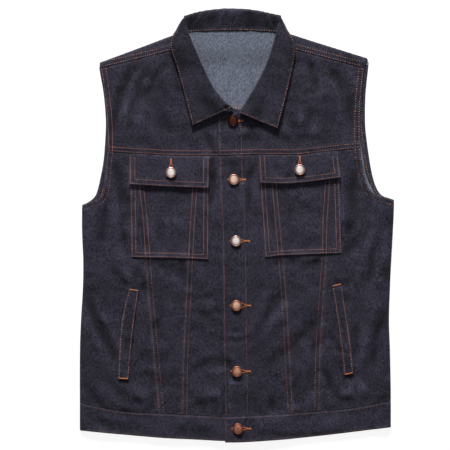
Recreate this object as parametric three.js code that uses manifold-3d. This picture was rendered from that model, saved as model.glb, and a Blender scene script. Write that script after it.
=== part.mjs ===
import * as THREE from 'three';
import { mergeVertices } from 'three/addons/utils/BufferGeometryUtils.js';
import Module from 'manifold-3d';

// A men's denim vest, size M, laid flat on its back and buttoned, front up.
// Millimetres, +Z up, +Y towards the collar, +X towards the wearer's left, which is the viewer's right.
// The origin is on the surface it lies on, under the middle of its outline.
// Left and right in the names are the wearer's. The left front lies over the right.

const wasm = await Module();
wasm.setup();

// Cloth
const CLOTH = 1.2; // one layer of denim
const DOUBLE = 2.2; // two layers sewn together: collar, flaps, waistband, welts
const SEAM_GAP = 0.3; // between pieces at a seam
const LAY_GAP = 0.35; // between a piece and what lies on it
const GRID = 20; // step of the lattice that every piece of the front shares
const SIDE_LINE = 12 * GRID; // the last lattice line inside both side folds
const SHOULDER_LINE = 12 * GRID; // the last lattice line below both shoulder folds
const HIGH = 80; // above everything
const FAR = 300; // beyond the outline on every side

// How the vest lies
const AIR = 2.5; // between back and front where there is no fold
const LEAST_AIR = 0.5;
const FOLD_REACH = 6; // the bend at a side fold or shoulder fold, seen from above
const FOLD_STEPS = 4;
const UNDER_WIDTH = 28; // from the side fold to the side seam underneath
const UNDERARM_SPLIT = 2.2; // height where the front's armhole ends and the back's begins
const JOIN_OVERLAP = 0.05; // between two solids that are joined face to face
const UNDER_EDGE = 20; // x of the right front's edge, under the left front
const LAP_END = 55; // where the left front has come down from the lap
const BACK_YOKE_SEAM = 190;
const BAND_PROUD = 0.8; // the waistband stands this much over the panels

// The two side folds, from the hem up
const SIDE_FOLDS = [
  { y: -360, left: 253.4, right: -258.6 },
  { y: -285, left: 253.8, right: -259 },
  { y: -206, left: 252.4, right: -258.8 },
  { y: -155, left: 250.8, right: -257 },
  { y: -100, left: 252.6, right: -253.9 },
  { y: -60, left: 254.4, right: -253.4 },
  { y: -8, left: 257.4, right: -255.4 },
  { y: 32, left: 259, right: -255.3 },
  { y: 60, left: 259.5, right: -255 },
];

// The slanted seams of each front
const PANEL_SEAMS = {
  left: [
    { y: -306, inner: 87.9, outer: 131 },
    { y: -210, inner: 82.4, outer: 133.2 },
    { y: -130, inner: 78, outer: 137.9 },
    { y: -51, inner: 71.5, outer: 143.3 },
    { y: 10, inner: 66.4, outer: 145.1 },
    { y: 60, inner: 61.9, outer: 148.3 },
    { y: 120, inner: 60, outer: 151 },
  ],
  right: [
    { y: -306, inner: -86, outer: -124.2 },
    { y: -210, inner: -84, outer: -133.1 },
    { y: -130, inner: -79.7, outer: -140.3 },
    { y: -51, inner: -76.3, outer: -146.7 },
    { y: 10, inner: -72.8, outer: -151 },
    { y: 60, inner: -69.7, outer: -156.3 },
    { y: 120, inner: -68, outer: -158.5 },
  ],
};

// Seams that run across
const YOKE_SEAM = [
  { x: -212, y: 121 },
  { x: -160, y: 117.6 },
  { x: -100, y: 114.6 },
  { x: -30, y: 114.6 },
  { x: 38, y: 116.3 },
  { x: 104, y: 116.6 },
  { x: 150, y: 121.7 },
  { x: 203, y: 126.8 },
];
const WAIST = [
  { x: -258, seam: -293, hem: -338 },
  { x: -193, seam: -306.4, hem: -344.2 },
  { x: -127, seam: -310.5, hem: -349.8 },
  { x: -61, seam: -313.8, hem: -353.3 },
  { x: -20, seam: -315.5, hem: -355.2 },
  { x: 54, seam: -313, hem: -354.4 },
  { x: 120, seam: -308, hem: -348.6 },
  { x: 187, seam: -302.3, hem: -340.8 },
  { x: 253, seam: -290, hem: -332.6 },
];
const SHOULDER = [
  { x: -228, fold: 267.5, seam: 257.6 },
  { x: -117, fold: 308.7, seam: 284.8 },
  { x: -84, fold: 320.6, seam: 292.8 },
  { x: -50, fold: 333, seam: 300 },
  { x: 35, fold: 333, seam: 303 },
  { x: 70, fold: 320.6, seam: 295.3 },
  { x: 94, fold: 313, seam: 289 },
  { x: 154, fold: 294.4, seam: 273.6 },
  { x: 218, fold: 274.4, seam: 257 },
];

// The left front's free edge
const FRONT_EDGE = [
  { y: -360, x: -18.8 },
  { y: -310, x: -20 },
  { y: -156, x: -22.4 },
  { y: -24, x: -24 },
  { y: 42, x: -26.6 },
  { y: 124, x: -29.9 },
  { y: 185, x: -30.7 },
];

// Armholes from the shoulder down to the underarm
const FRONT_ARMHOLE = {
  left: [
    { x: 210.6, y: 266 },
    { x: 206.9, y: 231.5 },
    { x: 203.5, y: 190 },
    { x: 203.2, y: 149 },
    { x: 204.2, y: 118 },
    { x: 210.2, y: 86.3 },
    { x: 221.5, y: 57.5 },
    { x: 236.1, y: 48.8 },
    { x: 256, y: 43.5 },
    { x: 280, y: 41 },
  ],
  right: [
    { x: -225.4, y: 266 },
    { x: -219.8, y: 223.2 },
    { x: -215.4, y: 184 },
    { x: -213.2, y: 134 },
    { x: -215.7, y: 99.5 },
    { x: -218.6, y: 70 },
    { x: -225.9, y: 47 },
    { x: -237.4, y: 41.6 },
    { x: -255, y: 34.3 },
    { x: -280, y: 31 },
  ],
};
const BACK_ARMHOLE = {
  left: [
    { x: 219, y: 282 },
    { x: 216.2, y: 256 },
    { x: 212.2, y: 216 },
    { x: 211.4, y: 176 },
    { x: 213.2, y: 148 },
    { x: 220.4, y: 97.8 },
    { x: 227.7, y: 71.4 },
    { x: 235.5, y: 55 },
    { x: 250, y: 45 },
    { x: 280, y: 41 },
  ],
  right: [
    { x: -228.6, y: 280 },
    { x: -226.5, y: 256 },
    { x: -219.8, y: 216.6 },
    { x: -216.2, y: 170 },
    { x: -218.3, y: 124 },
    { x: -221.3, y: 97.8 },
    { x: -226.5, y: 71.4 },
    { x: -231, y: 55 },
    { x: -242, y: 42 },
    { x: -280, y: 31 },
  ],
};

// Necklines: each front's from its edge up to the shoulder, and the back's across
const FRONT_NECK = {
  left: [
    { x: -30.7, y: 180.3 },
    { x: -14, y: 181.2 },
    { x: 0, y: 187 },
    { x: 24, y: 208 },
    { x: 45, y: 232 },
    { x: 63, y: 262 },
    { x: 73, y: 290 },
    { x: 73, y: 325 },
  ],
  right: [
    { x: 20, y: 184 },
    { x: 0, y: 186 },
    { x: -24, y: 200 },
    { x: -42, y: 214 },
    { x: -62, y: 238 },
    { x: -79, y: 266 },
    { x: -85, y: 290 },
    { x: -84, y: 325 },
  ],
};
const BACK_NECK = [
  { x: -84, y: 316.5 },
  { x: -60, y: 318.5 },
  { x: -7, y: 320.3 },
  { x: 45, y: 318.5 },
  { x: 70, y: 316.5 },
];

// The collar: where it rolls over, and its outer edges
const COLLAR_TOP = [
  { x: -84, roll: 346, fall: 299 },
  { x: -64, roll: 351.9, fall: 304 },
  { x: -38, roll: 355.9, fall: 308 },
  { x: -5, roll: 357.2, fall: 310 },
  { x: 28, roll: 355, fall: 308 },
  { x: 70, roll: 346.4, fall: 299 },
];
const COLLAR_ROLL = {
  left: [
    { x: 68.5, y: 333 },
    { x: 62.9, y: 312.3 },
    { x: 51.3, y: 272.7 },
    { x: 33.2, y: 234.8 },
    { x: 17, y: 207.5 },
    { x: 6.8, y: 196 },
  ],
  right: [
    { x: -84.4, y: 333 },
    { x: -79, y: 315.6 },
    { x: -60.9, y: 272.7 },
    { x: -41.1, y: 231.5 },
    { x: -22, y: 206 },
    { x: -8.9, y: 195.2 },
  ],
};
const COLLAR_CORNER = { left: { x: 72.6, y: 344 }, right: { x: -88.4, y: 342.5 } };
const COLLAR_EDGE = {
  left: [
    { x: 78.6, y: 332 },
    { x: 86.6, y: 315 },
    { x: 94.2, y: 299.1 },
    { x: 94.6, y: 276 },
    { x: 86, y: 233.1 },
    { x: 76.1, y: 193.5 },
    { x: 67, y: 158.9 },
  ],
  right: [
    { x: -95.4, y: 331.5 },
    { x: -104, y: 314 },
    { x: -109.6, y: 297.5 },
    { x: -107.1, y: 284 },
    { x: -97.2, y: 254.6 },
    { x: -84, y: 207 },
    { x: -73.3, y: 163.8 },
  ],
};
const COLLAR_STAND = { top: 17, bottom: 4 }; // width of the stand, folded flat under each leaf
const COLLAR_BEND = 1.4; // radius of the roll, to the middle of the cloth
const COLLAR_ROWS = 16;
const COLLAR_WRAP = { full: 0.063, none: 0.12 }; // shares of a leaf's length: it wraps down beside the neck
const NECK_LIFT = DOUBLE + 0.45; // the back yoke lies on the collar's fall here
const NECK_LIFT_RUN = 38; // and comes down to the surface over this length
const NECK_AIR = 1.1; // more air where the collar stands

// Pockets: side edges, and the lower edge
const POCKETS = {
  left: {
    sides: [{ y: -50, inner: 46.3, outer: 172.2 }, { y: 100, inner: 36.3, outer: 168 }],
    lower: [{ x: 47, y: -52.8 }, { x: 76, y: -49.8 }, { x: 170, y: -46.2 }],
  },
  right: {
    sides: [{ y: -54, inner: -46.9, outer: -173.9 }, { y: 100, inner: -46, outer: -176 }],
    lower: [{ x: -174, y: -52.8 }, { x: -110, y: -54 }, { x: -47, y: -56.4 }],
  },
};
const POCKET_TOP = 100;
const FLAPS = {
  left: {
    sides: [{ y: 70, inner: 38, outer: 171.4 }, { y: 118, inner: 35.6, outer: 166 }],
    lower: [{ x: 38, y: 69.8 }, { x: 71, y: 68.1 }, { x: 104, y: 69.8 }, { x: 170, y: 78 }],
  },
  right: {
    sides: [{ y: 63, inner: -46, outer: -177.2 }, { y: 118, inner: -45.2, outer: -177.2 }],
    lower: [{ x: -177, y: 67.3 }, { x: -143.4, y: 64.8 }, { x: -110, y: 63.2 }, { x: -46, y: 60.7 }],
  },
};
const WELTS = {
  left: {
    sides: [
      { y: -246, inner: 176.2, outer: 192.2 },
      { y: -197, inner: 170.9, outer: 187.4 },
      { y: -156, inner: 165.2, outer: 181.6 },
      { y: -98, inner: 156, outer: 172.3 },
    ],
    lower: [{ x: 176.7, y: -246.7 }, { x: 192.4, y: -243.7 }],
    upper: [{ x: 156, y: -99.3 }, { x: 171.8, y: -95.2 }],
  },
  right: {
    sides: [
      { y: -253, inner: -178, outer: -195.5 },
      { y: -189, inner: -172.3, outer: -192.8 },
      { y: -148, inner: -167.3, outer: -188 },
      { y: -105, inner: -161, outer: -178 },
    ],
    lower: [{ x: -195.4, y: -252.5 }, { x: -178, y: -253.6 }],
    upper: [{ x: -178, y: -104.3 }, { x: -161, y: -106.8 }],
  },
};

// The largest folds: soft ridges, and troughs where the height is below zero
const FOLDS = [
  { x0: -119, y0: 281, x1: -206, y1: 141, width: 20, height: 2.8 },
  { x0: -150, y0: 262, x1: -200, y1: 180, width: 16, height: -2 },
  { x0: -110, y0: 240, x1: -178, y1: 130, width: 18, height: 2 },
  { x0: -58, y0: 172, x1: -34, y1: 130, width: 18, height: -2 },
  { x0: 101, y0: 256, x1: 121, y1: 180, width: 18, height: 2.4 },
  { x0: 180, y0: 268, x1: 180, y1: 140, width: 20, height: -1.8 },
  { x0: 140, y0: 225, x1: 150, y1: 165, width: 18, height: 2.2 },
  { x0: -250, y0: -100, x1: -206, y1: -200, width: 20, height: -2 },
  { x0: -238, y0: -150, x1: -240, y1: -270, width: 16, height: 2.4 },
  { x0: -204, y0: -50, x1: -178, y1: -98, width: 17, height: 2.2 },
  { x0: -212, y0: -258, x1: -140, y1: -296, width: 18, height: 2.4 },
  { x0: -60, y0: -176, x1: -28, y1: -230, width: 20, height: -2 },
  { x0: 20, y0: -205, x1: 214, y1: -10, width: 22, height: 3.2 },
  { x0: 60, y0: -140, x1: 150, y1: -78, width: 17, height: -2 },
  { x0: 200, y0: 40, x1: 190, y1: -100, width: 18, height: -1.8 },
  { x0: 224, y0: -120, x1: 230, y1: -240, width: 18, height: 2.8 },
  { x0: 140, y0: -236, x1: 166, y1: -292, width: 17, height: -2 },
  { x0: 100, y0: -200, x1: 110, y1: -280, width: 18, height: 2.2 },
];
const FOLD_FADE = 0.25; // share of a fold's length over which each end fades

// Tack buttons, from the neck down, and one on each flap
const BUTTONS = {
  front: [
    { x: -6.4, y: 170.5 },
    { x: -4.8, y: 75.2 },
    { x: -1.5, y: -25.9 },
    { x: -0.7, y: -132 },
    { x: 0.2, y: -240.4 },
    { x: 1.8, y: -334.5 },
  ],
  flap_left: { x: 103.3, y: 91.2 },
  flap_right: { x: -108.4, y: 86.6 },
};
const BUTTON_PROFILE = [
  { r: 0, z: 0 },
  { r: 4.5, z: 0 },
  { r: 4.5, z: 1.2 },
  { r: 8.7, z: 1.7 },
  { r: 8.7, z: 3.1 },
  { r: 7, z: 3.9 },
  { r: 0, z: 3.7 },
];
const BUTTON_SIDES = 12;
const BUTTON_SEAT = 0.45; // over the cloth at its middle, clear of the slope under its rim

const DENIM = new THREE.MeshStandardMaterial({ color: 0x2b2c3a, roughness: 0.9, metalness: 0 });
const COPPER = new THREE.MeshStandardMaterial({ color: 0x9a6a50, roughness: 0.35, metalness: 1 });

// Helpers on numbers and tables

function smooth(from, to, value) {
  const t = Math.min(Math.max((value - from) / (to - from), 0), 1);
  return t * t * (3 - 2 * t);
}

// A smooth curve through a table's rows, straight on beyond its ends
function curve(rows, key, column) {
  const last = rows.length - 1;
  const slope = (i) => {
    const a = rows[Math.max(i - 1, 0)];
    const b = rows[Math.min(i + 1, last)];
    return (b[column] - a[column]) / (b[key] - a[key]);
  };
  return (at) => {
    if (at <= rows[0][key]) return rows[0][column] + (at - rows[0][key]) * slope(0);
    if (at >= rows[last][key]) return rows[last][column] + (at - rows[last][key]) * slope(last);
    let i = 0;
    while (at > rows[i + 1][key]) i += 1;
    const span = rows[i + 1][key] - rows[i][key];
    const t = (at - rows[i][key]) / span;
    const start = rows[i][column] * (1 + 2 * t) * (1 - t) ** 2 + span * slope(i) * t * (1 - t) ** 2;
    const end = rows[i + 1][column] * t * t * (3 - 2 * t) + span * slope(i + 1) * t * t * (t - 1);
    return start + end;
  };
}

function path(rows) {
  return new THREE.SplineCurve(rows.map((row) => new THREE.Vector2(row.x, row.y)));
}

function pathPoints(rows, steps) {
  return path(rows).getSpacedPoints(steps);
}

const sideFold = { left: curve(SIDE_FOLDS, 'y', 'left'), right: curve(SIDE_FOLDS, 'y', 'right') };
const yokeSeam = curve(YOKE_SEAM, 'x', 'y');
const waistSeam = curve(WAIST, 'x', 'seam');
const hem = curve(WAIST, 'x', 'hem');
const shoulderFold = curve(SHOULDER, 'x', 'fold');
const shoulderSeam = curve(SHOULDER, 'x', 'seam');
const frontEdge = curve(FRONT_EDGE, 'y', 'x');
const backNeck = curve(BACK_NECK, 'x', 'y');
const collarRoll = curve(COLLAR_TOP, 'x', 'roll');
const collarFall = curve(COLLAR_TOP, 'x', 'fall');

// Heights

// How far the back is lifted, by the collar's fall under it
function backLift(x, y) {
  const across = smooth(-150, -105, x) * (1 - smooth(90, 135, x));
  return NECK_LIFT * across * smooth(296 - NECK_LIFT_RUN, 294, y);
}

function foldHeight(fold, x, y) {
  const dx = fold.x1 - fold.x0;
  const dy = fold.y1 - fold.y0;
  const along = ((x - fold.x0) * dx + (y - fold.y0) * dy) / (dx * dx + dy * dy);
  const near = Math.min(Math.max(along, 0), 1);
  const off = Math.hypot(x - fold.x0 - near * dx, y - fold.y0 - near * dy);
  const fade = smooth(-FOLD_FADE, FOLD_FADE, along) * (1 - smooth(1 - FOLD_FADE, 1 + FOLD_FADE, along));
  return fold.height * fade * Math.exp(-((off / fold.width) ** 2));
}

// The outer face of a single layer of the front
function frontTop(x, y) {
  const neck = NECK_AIR * smooth(190, 280, y) * smooth(-170, -110, x) * (1 - smooth(95, 155, x));
  const folds = FOLDS.reduce((sum, fold) => sum + foldHeight(fold, x, y), 0);
  const air = Math.max(AIR + neck + folds, LEAST_AIR);
  return CLOTH + backLift(x, y) + air + CLOTH;
}

// The left front is lifted where the right front lies under it
function lapRise(x, thickness = CLOTH) {
  return (thickness + LAY_GAP) * (1 - smooth(UNDER_EDGE + 2, LAP_END, x));
}

const outerFace = {
  left: (x, y) => frontTop(x, y) + lapRise(x),
  right: frontTop,
};

// Closed walls

// Joins two faces of one grid of points, outer and inner, round their rim
function wall(outer, inner) {
  const rows = outer.length;
  const columns = outer[0].length;
  const positions = [...outer.flat(), ...inner.flat()].flatMap((p) => [p.x, p.y, p.z]);
  const at = (face, row, column) => face * rows * columns + row * columns + column;
  const index = [];
  const quad = (a, b, c, d) => index.push(a, b, c, a, c, d);
  for (let r = 0; r + 1 < rows; r += 1) {
    for (let c = 0; c + 1 < columns; c += 1) {
      quad(at(0, r, c), at(0, r, c + 1), at(0, r + 1, c + 1), at(0, r + 1, c));
      quad(at(1, r, c), at(1, r + 1, c), at(1, r + 1, c + 1), at(1, r, c + 1));
    }
  }
  for (let c = 0; c + 1 < columns; c += 1) {
    quad(at(0, 0, c), at(1, 0, c), at(1, 0, c + 1), at(0, 0, c + 1));
    quad(at(0, rows - 1, c + 1), at(1, rows - 1, c + 1), at(1, rows - 1, c), at(0, rows - 1, c));
  }
  for (let r = 0; r + 1 < rows; r += 1) {
    quad(at(0, r + 1, 0), at(1, r + 1, 0), at(1, r, 0), at(0, r, 0));
    quad(at(0, r, columns - 1), at(1, r, columns - 1), at(1, r + 1, columns - 1), at(0, r + 1, columns - 1));
  }
  const geometry = new THREE.BufferGeometry();
  geometry.setAttribute('position', new THREE.Float32BufferAttribute(positions, 3));
  geometry.setIndex(index);
  return volume(geometry) < 0 ? turned(geometry) : geometry;
}

function volume(geometry) {
  const position = geometry.getAttribute('position');
  const corners = [new THREE.Vector3(), new THREE.Vector3(), new THREE.Vector3()];
  let sum = 0;
  for (let i = 0; i < geometry.index.count; i += 3) {
    corners.forEach((corner, k) => corner.fromBufferAttribute(position, geometry.index.getX(i + k)));
    sum += corners[0].dot(corners[1].clone().cross(corners[2])) / 6;
  }
  return sum;
}

function turned(geometry) {
  const index = [...geometry.index.array];
  for (let i = 0; i < index.length; i += 3) [index[i], index[i + 1]] = [index[i + 1], index[i]];
  geometry.setIndex(index);
  return geometry;
}

// The lattice lines from one value to another, a step beyond at each end
function latticeLines(from, to) {
  const first = Math.floor(from / GRID);
  const last = Math.ceil(to / GRID);
  return Array.from({ length: last - first + 1 }, (_, i) => (first + i) * GRID);
}

// A wall over part of the lattice, from its outer face and its thickness
function sheet(box, top, thickness) {
  const xs = latticeLines(box.x0, box.x1);
  const ys = latticeLines(box.y0, box.y1);
  const face = (drop) => ys.map((y) => xs.map((x) => new THREE.Vector3(x, y, top(x, y) - drop)));
  return wall(face(0), face(thickness));
}

// Solids that manifold cuts and joins

function solid(geometry) {
  geometry.deleteAttribute('normal');
  geometry.deleteAttribute('uv');
  const merged = mergeVertices(geometry, 1e-4);
  return new wasm.Manifold(new wasm.Mesh({
    numProp: 3,
    vertProperties: new Float32Array(merged.getAttribute('position').array),
    triVerts: new Uint32Array(merged.index.array),
  }));
}

function prism(points, low = -HIGH, high = HIGH) {
  const geometry = new THREE.ExtrudeGeometry(new THREE.Shape(points), {
    depth: high - low,
    bevelEnabled: false,
  });
  geometry.translate(0, 0, low);
  return solid(geometry);
}

function geometryOf(manifold) {
  const mesh = manifold.getMesh();
  const geometry = new THREE.BufferGeometry();
  geometry.setAttribute('position', new THREE.Float32BufferAttribute([...mesh.vertProperties], 3));
  geometry.setIndex([...mesh.triVerts]);
  return geometry;
}

// The outline between two upright curves x(y) and two level curves y(x)
function cell({ sides, lower, upper, step = 24 }) {
  const meet = (x, y) => {
    let point = { x: x(0), y: 0 };
    for (let i = 0; i < 12; i += 1) point = { x: x(point.y), y: y(point.x) };
    return point;
  };
  const [a, b] = sides;
  const corners = [meet(a, lower), meet(b, lower), meet(b, upper), meet(a, upper)];
  const points = [];
  const line = (from, to, key, place) => {
    const count = Math.max(1, Math.round(Math.abs(to[key] - from[key]) / step));
    for (let i = 0; i < count; i += 1) points.push(place(from[key] + ((to[key] - from[key]) * i) / count));
  };
  line(corners[0], corners[1], 'x', (x) => new THREE.Vector2(x, lower(x)));
  line(corners[1], corners[2], 'y', (y) => new THREE.Vector2(b(y), y));
  line(corners[2], corners[3], 'x', (x) => new THREE.Vector2(x, upper(x)));
  line(corners[3], corners[0], 'y', (y) => new THREE.Vector2(a(y), y));
  return points;
}

const group = new THREE.Group();

function add(name, geometry, material = DENIM) {
  const mesh = new THREE.Mesh(geometry, material);
  mesh.name = name;
  group.add(mesh);
}

// The section of a fold, from above the cloth round to beneath it: reach out, height of both faces
function bend(height, thickness) {
  const middle = height / 2;
  return Array.from({ length: FOLD_STEPS + 1 }, (_, i) => {
    const angle = Math.PI * (0.5 - i / FOLD_STEPS);
    return {
      outer: { reach: FOLD_REACH * Math.cos(angle), z: middle + middle * Math.sin(angle) },
      inner: {
        reach: (FOLD_REACH - thickness) * Math.cos(angle),
        z: middle + (middle - thickness) * Math.sin(angle),
      },
    };
  });
}

// Fronts

const SIGN = { left: 1, right: -1 };
const SIDES = Object.keys(SIGN);
const gapHalf = SEAM_GAP / 2;

// The whole of one front, from its edge and neckline to its armhole, and past its side fold
function frontOutline(side) {
  const low = -340;
  const edge = side === 'left' ? frontEdge : () => UNDER_EDGE;
  const neck = pathPoints(FRONT_NECK[side], 16);
  const armhole = pathPoints(FRONT_ARMHOLE[side], 18);
  const underSeam = (p) => p.y < shoulderSeam(p.x) - gapHalf;
  const neckPart = neck.filter(underSeam);
  const armPart = armhole.filter(underSeam);
  const from = neckPart.at(-1).x;
  const to = armPart[0].x;
  const steps = 8;
  const edgePart = Array.from({ length: 12 }, (_, i) => {
    const y = low + ((neck[0].y - low) * i) / 12;
    return new THREE.Vector2(edge(y), y);
  });
  const shoulderPart = Array.from({ length: steps + 1 }, (_, i) => {
    const x = from + ((to - from) * i) / steps;
    return new THREE.Vector2(x, shoulderSeam(x) - gapHalf);
  });
  const beyond = SIGN[side] * FAR;
  return [
    ...edgePart,
    ...neckPart,
    ...shoulderPart,
    ...armPart,
    new THREE.Vector2(beyond, armhole.at(-1).y),
    new THREE.Vector2(beyond, low),
  ];
}

// What lies outside the back's armhole
function armholeOutside(side) {
  const armhole = pathPoints(BACK_ARMHOLE[side], 18);
  const beyond = SIGN[side] * FAR;
  return prism([
    ...armhole,
    new THREE.Vector2(beyond, armhole.at(-1).y),
    new THREE.Vector2(beyond, armhole[0].y),
  ]);
}

// Between two upright curves, given from the front edge outward, with half a seam's gap at each
function panelCell(side, nearer, further, lower, upper) {
  const gap = SIGN[side] * gapHalf;
  const sides = [(y) => nearer(y) + gap, (y) => further(y) - gap];
  return cell({ sides, lower, upper });
}

function trimmed(outline, top, thickness, ...cuts) {
  const whole = solid(sheet(boxOf(outline), top, thickness));
  return geometryOf(cuts.reduce((rest, cut) => rest.intersect(cut), whole.intersect(prism(outline))));
}

// A side panel's wall: the front's lattice, round the fold, and flat underneath to the side seam
function sideWall(side, y0, y1) {
  const sign = SIGN[side];
  const ascending = (points) => (sign > 0 ? points : points.reverse());
  const rows = latticeLines(y0, y1).map((y) => {
    const centre = sideFold[side](y) - sign * FOLD_REACH;
    const flat = latticeLines(120, SIDE_LINE).map((x) => ({ x: sign * x, z: outerFace[side](sign * x, y) }));
    const round = bend(outerFace[side](centre, y), CLOTH);
    const under = centre - sign * (UNDER_WIDTH - FOLD_REACH);
    return {
      outer: ascending([
        ...flat.map((p) => new THREE.Vector3(p.x, y, p.z)),
        ...round.map((p) => new THREE.Vector3(centre + sign * p.outer.reach, y, p.outer.z)),
        new THREE.Vector3(under, y, 0),
      ]),
      inner: ascending([
        ...flat.map((p) => new THREE.Vector3(p.x, y, p.z - CLOTH)),
        ...round.map((p) => new THREE.Vector3(centre + sign * p.inner.reach, y, p.inner.z)),
        new THREE.Vector3(under, y, CLOTH),
      ]),
    };
  });
  return solid(wall(rows.map((row) => row.outer), rows.map((row) => row.inner)));
}

const aboveWaist = (x) => waistSeam(x) + gapHalf;
const belowYoke = (x) => yokeSeam(x) - gapHalf;
const aboveYoke = (x) => yokeSeam(x) + gapHalf;

function addFront(side) {
  const sign = SIGN[side];
  const front = prism(frontOutline(side));
  const inner = curve(PANEL_SEAMS[side], 'y', 'inner');
  const outer = curve(PANEL_SEAMS[side], 'y', 'outer');
  const edge = side === 'left' ? (y) => frontEdge(y) - 1 : () => UNDER_EDGE + 1;
  const armhole = () => sign * 235;
  const beyond = () => sign * (FAR - 10);
  const top = outerFace[side];

  const yoke = panelCell(side, edge, armhole, aboveYoke, () => 305);
  add(`front_yoke_${side}`, trimmed(yoke, top, CLOTH, front));
  const centre = panelCell(side, edge, inner, aboveWaist, belowYoke);
  add(`front_centre_${side}`, trimmed(centre, top, CLOTH, front));
  const middle = panelCell(side, inner, outer, aboveWaist, belowYoke);
  add(`front_middle_${side}`, trimmed(middle, top, CLOTH));

  const upper = front
    .intersect(prism(panelCell(side, outer, beyond, aboveWaist, belowYoke)))
    .intersect(prism(everywhere(), UNDERARM_SPLIT, HIGH));
  const split = UNDERARM_SPLIT + JOIN_OVERLAP;
  const under = prism(panelCell(side, () => sign * 180, beyond, aboveWaist, () => 60), -HIGH, split)
    .subtract(armholeOutside(side));
  add(`front_side_${side}`, geometryOf(sideWall(side, -315, 130).intersect(upper.add(under))));
}

function everywhere() {
  return [[-FAR, -FAR * 2], [FAR, -FAR * 2], [FAR, FAR * 2], [-FAR, FAR * 2]]
    .map(([x, y]) => new THREE.Vector2(x, y));
}

// What lies on the panels: each piece keeps the panel's own points, moved out

function onPanel(piece, upper) {
  const inner = curve(piece.sides, 'y', 'inner');
  const outer = curve(piece.sides, 'y', 'outer');
  return cell({ sides: [inner, outer], lower: curve(piece.lower, 'x', 'y'), upper });
}

function boxOf(points) {
  const xs = points.map((p) => p.x);
  const ys = points.map((p) => p.y);
  return { x0: Math.min(...xs), x1: Math.max(...xs), y0: Math.min(...ys), y1: Math.max(...ys) };
}

const pocketTop = { left: raised('left', LAY_GAP + CLOTH), right: raised('right', LAY_GAP + CLOTH) };
const flapTop = {
  left: raised('left', 2 * LAY_GAP + CLOTH + DOUBLE),
  right: raised('right', 2 * LAY_GAP + CLOTH + DOUBLE),
};

function raised(side, by) {
  return (x, y) => outerFace[side](x, y) + by;
}

function addPocket(side) {
  add(`pocket_${side}`, trimmed(onPanel(POCKETS[side], () => POCKET_TOP), pocketTop[side], CLOTH));
  add(`flap_${side}`, trimmed(onPanel(FLAPS[side], belowYoke), flapTop[side], DOUBLE));
  const welt = onPanel(WELTS[side], curve(WELTS[side].upper, 'x', 'y'));
  add(`welt_${side}`, trimmed(welt, raised(side, LAY_GAP + DOUBLE), DOUBLE));
}

// Back

function addBackPanel() {
  const sides = [
    (y) => sideFold.right(y) + UNDER_WIDTH + SEAM_GAP,
    (y) => sideFold.left(y) - UNDER_WIDTH - SEAM_GAP,
  ];
  const outline = cell({ sides, lower: aboveWaist, upper: () => BACK_YOKE_SEAM - gapHalf });
  const panel = prism(outline, 0, CLOTH);
  add('back_panel', geometryOf(panel.subtract(armholeOutside('left')).subtract(armholeOutside('right'))));
}

// The yoke lies under the neck, bends over both shoulders and comes down to the front shoulder seams
function addBackYoke() {
  const backLines = latticeLines(BACK_YOKE_SEAM - GRID / 2, SHOULDER_LINE);
  const slope = [0.25, 0.5, 0.75]; // between that line and the fold
  const strip = [1 / 3, 2 / 3, 1]; // between the fold and the front shoulder seam
  const columns = latticeLines(-240, 235).map((x) => {
    const centre = shoulderFold(x) - FOLD_REACH;
    const seam = shoulderSeam(x) + gapHalf;
    const base = backLift(x, centre);
    const flat = [...backLines, ...slope.map((s) => SHOULDER_LINE + s * (centre - SHOULDER_LINE))]
      .map((y) => ({ y, outer: backLift(x, y), inner: backLift(x, y) + CLOTH }));
    const round = bend(frontTop(x, centre) - base, CLOTH).reverse().map((p) => ({
      outer: base + p.outer.z,
      inner: base + p.inner.z,
      outerY: centre + p.outer.reach,
      innerY: centre + p.inner.reach,
    }));
    const front = strip.map((s) => centre + s * (seam - centre))
      .map((y) => ({ y, outer: frontTop(x, y), inner: frontTop(x, y) - CLOTH }));
    return [...flat, ...round, ...front].map((p) => ({
      outer: new THREE.Vector3(x, p.outerY ?? p.y, p.outer),
      inner: new THREE.Vector3(x, p.innerY ?? p.y, p.inner),
    }));
  });
  const whole = solid(wall(columns.map((c) => c.map((p) => p.outer)), columns.map((c) => c.map((p) => p.inner))));
  const below = prism(cell({
    sides: [() => -FAR, () => FAR],
    lower: () => BACK_YOKE_SEAM + gapHalf,
    upper: () => FAR + 100,
  }));
  const neckline = Array.from({ length: 11 }, (_, i) => {
    const x = -84 + ((73 + 84) * i) / 10;
    return new THREE.Vector2(x, backNeck(x) - gapHalf);
  });
  const overNeck = prism([...neckline, new THREE.Vector2(73, FAR + 100), new THREE.Vector2(-84, FAR + 100)]);
  const high = (p) => p.y > BACK_YOKE_SEAM + 50;
  const frontNeck = SIDES.map((side) => pathPoints(FRONT_NECK[side], 16).filter(high));
  const neckHole = prism([...frontNeck[0], ...frontNeck[1].reverse()], NECK_LIFT + CLOTH + 1, HIGH);
  const yoke = [armholeOutside('left'), armholeOutside('right'), overNeck, neckHole]
    .reduce((rest, cut) => rest.subtract(cut), whole.intersect(below));
  add('back_yoke', geometryOf(yoke));
}

// Waistband: one strip from the right front's edge round the back to the left front's edge

function bandTop(x, y) {
  return Math.max(frontTop(x, y) + BAND_PROUD, 2 * DOUBLE + 2 * LEAST_AIR);
}

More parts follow.
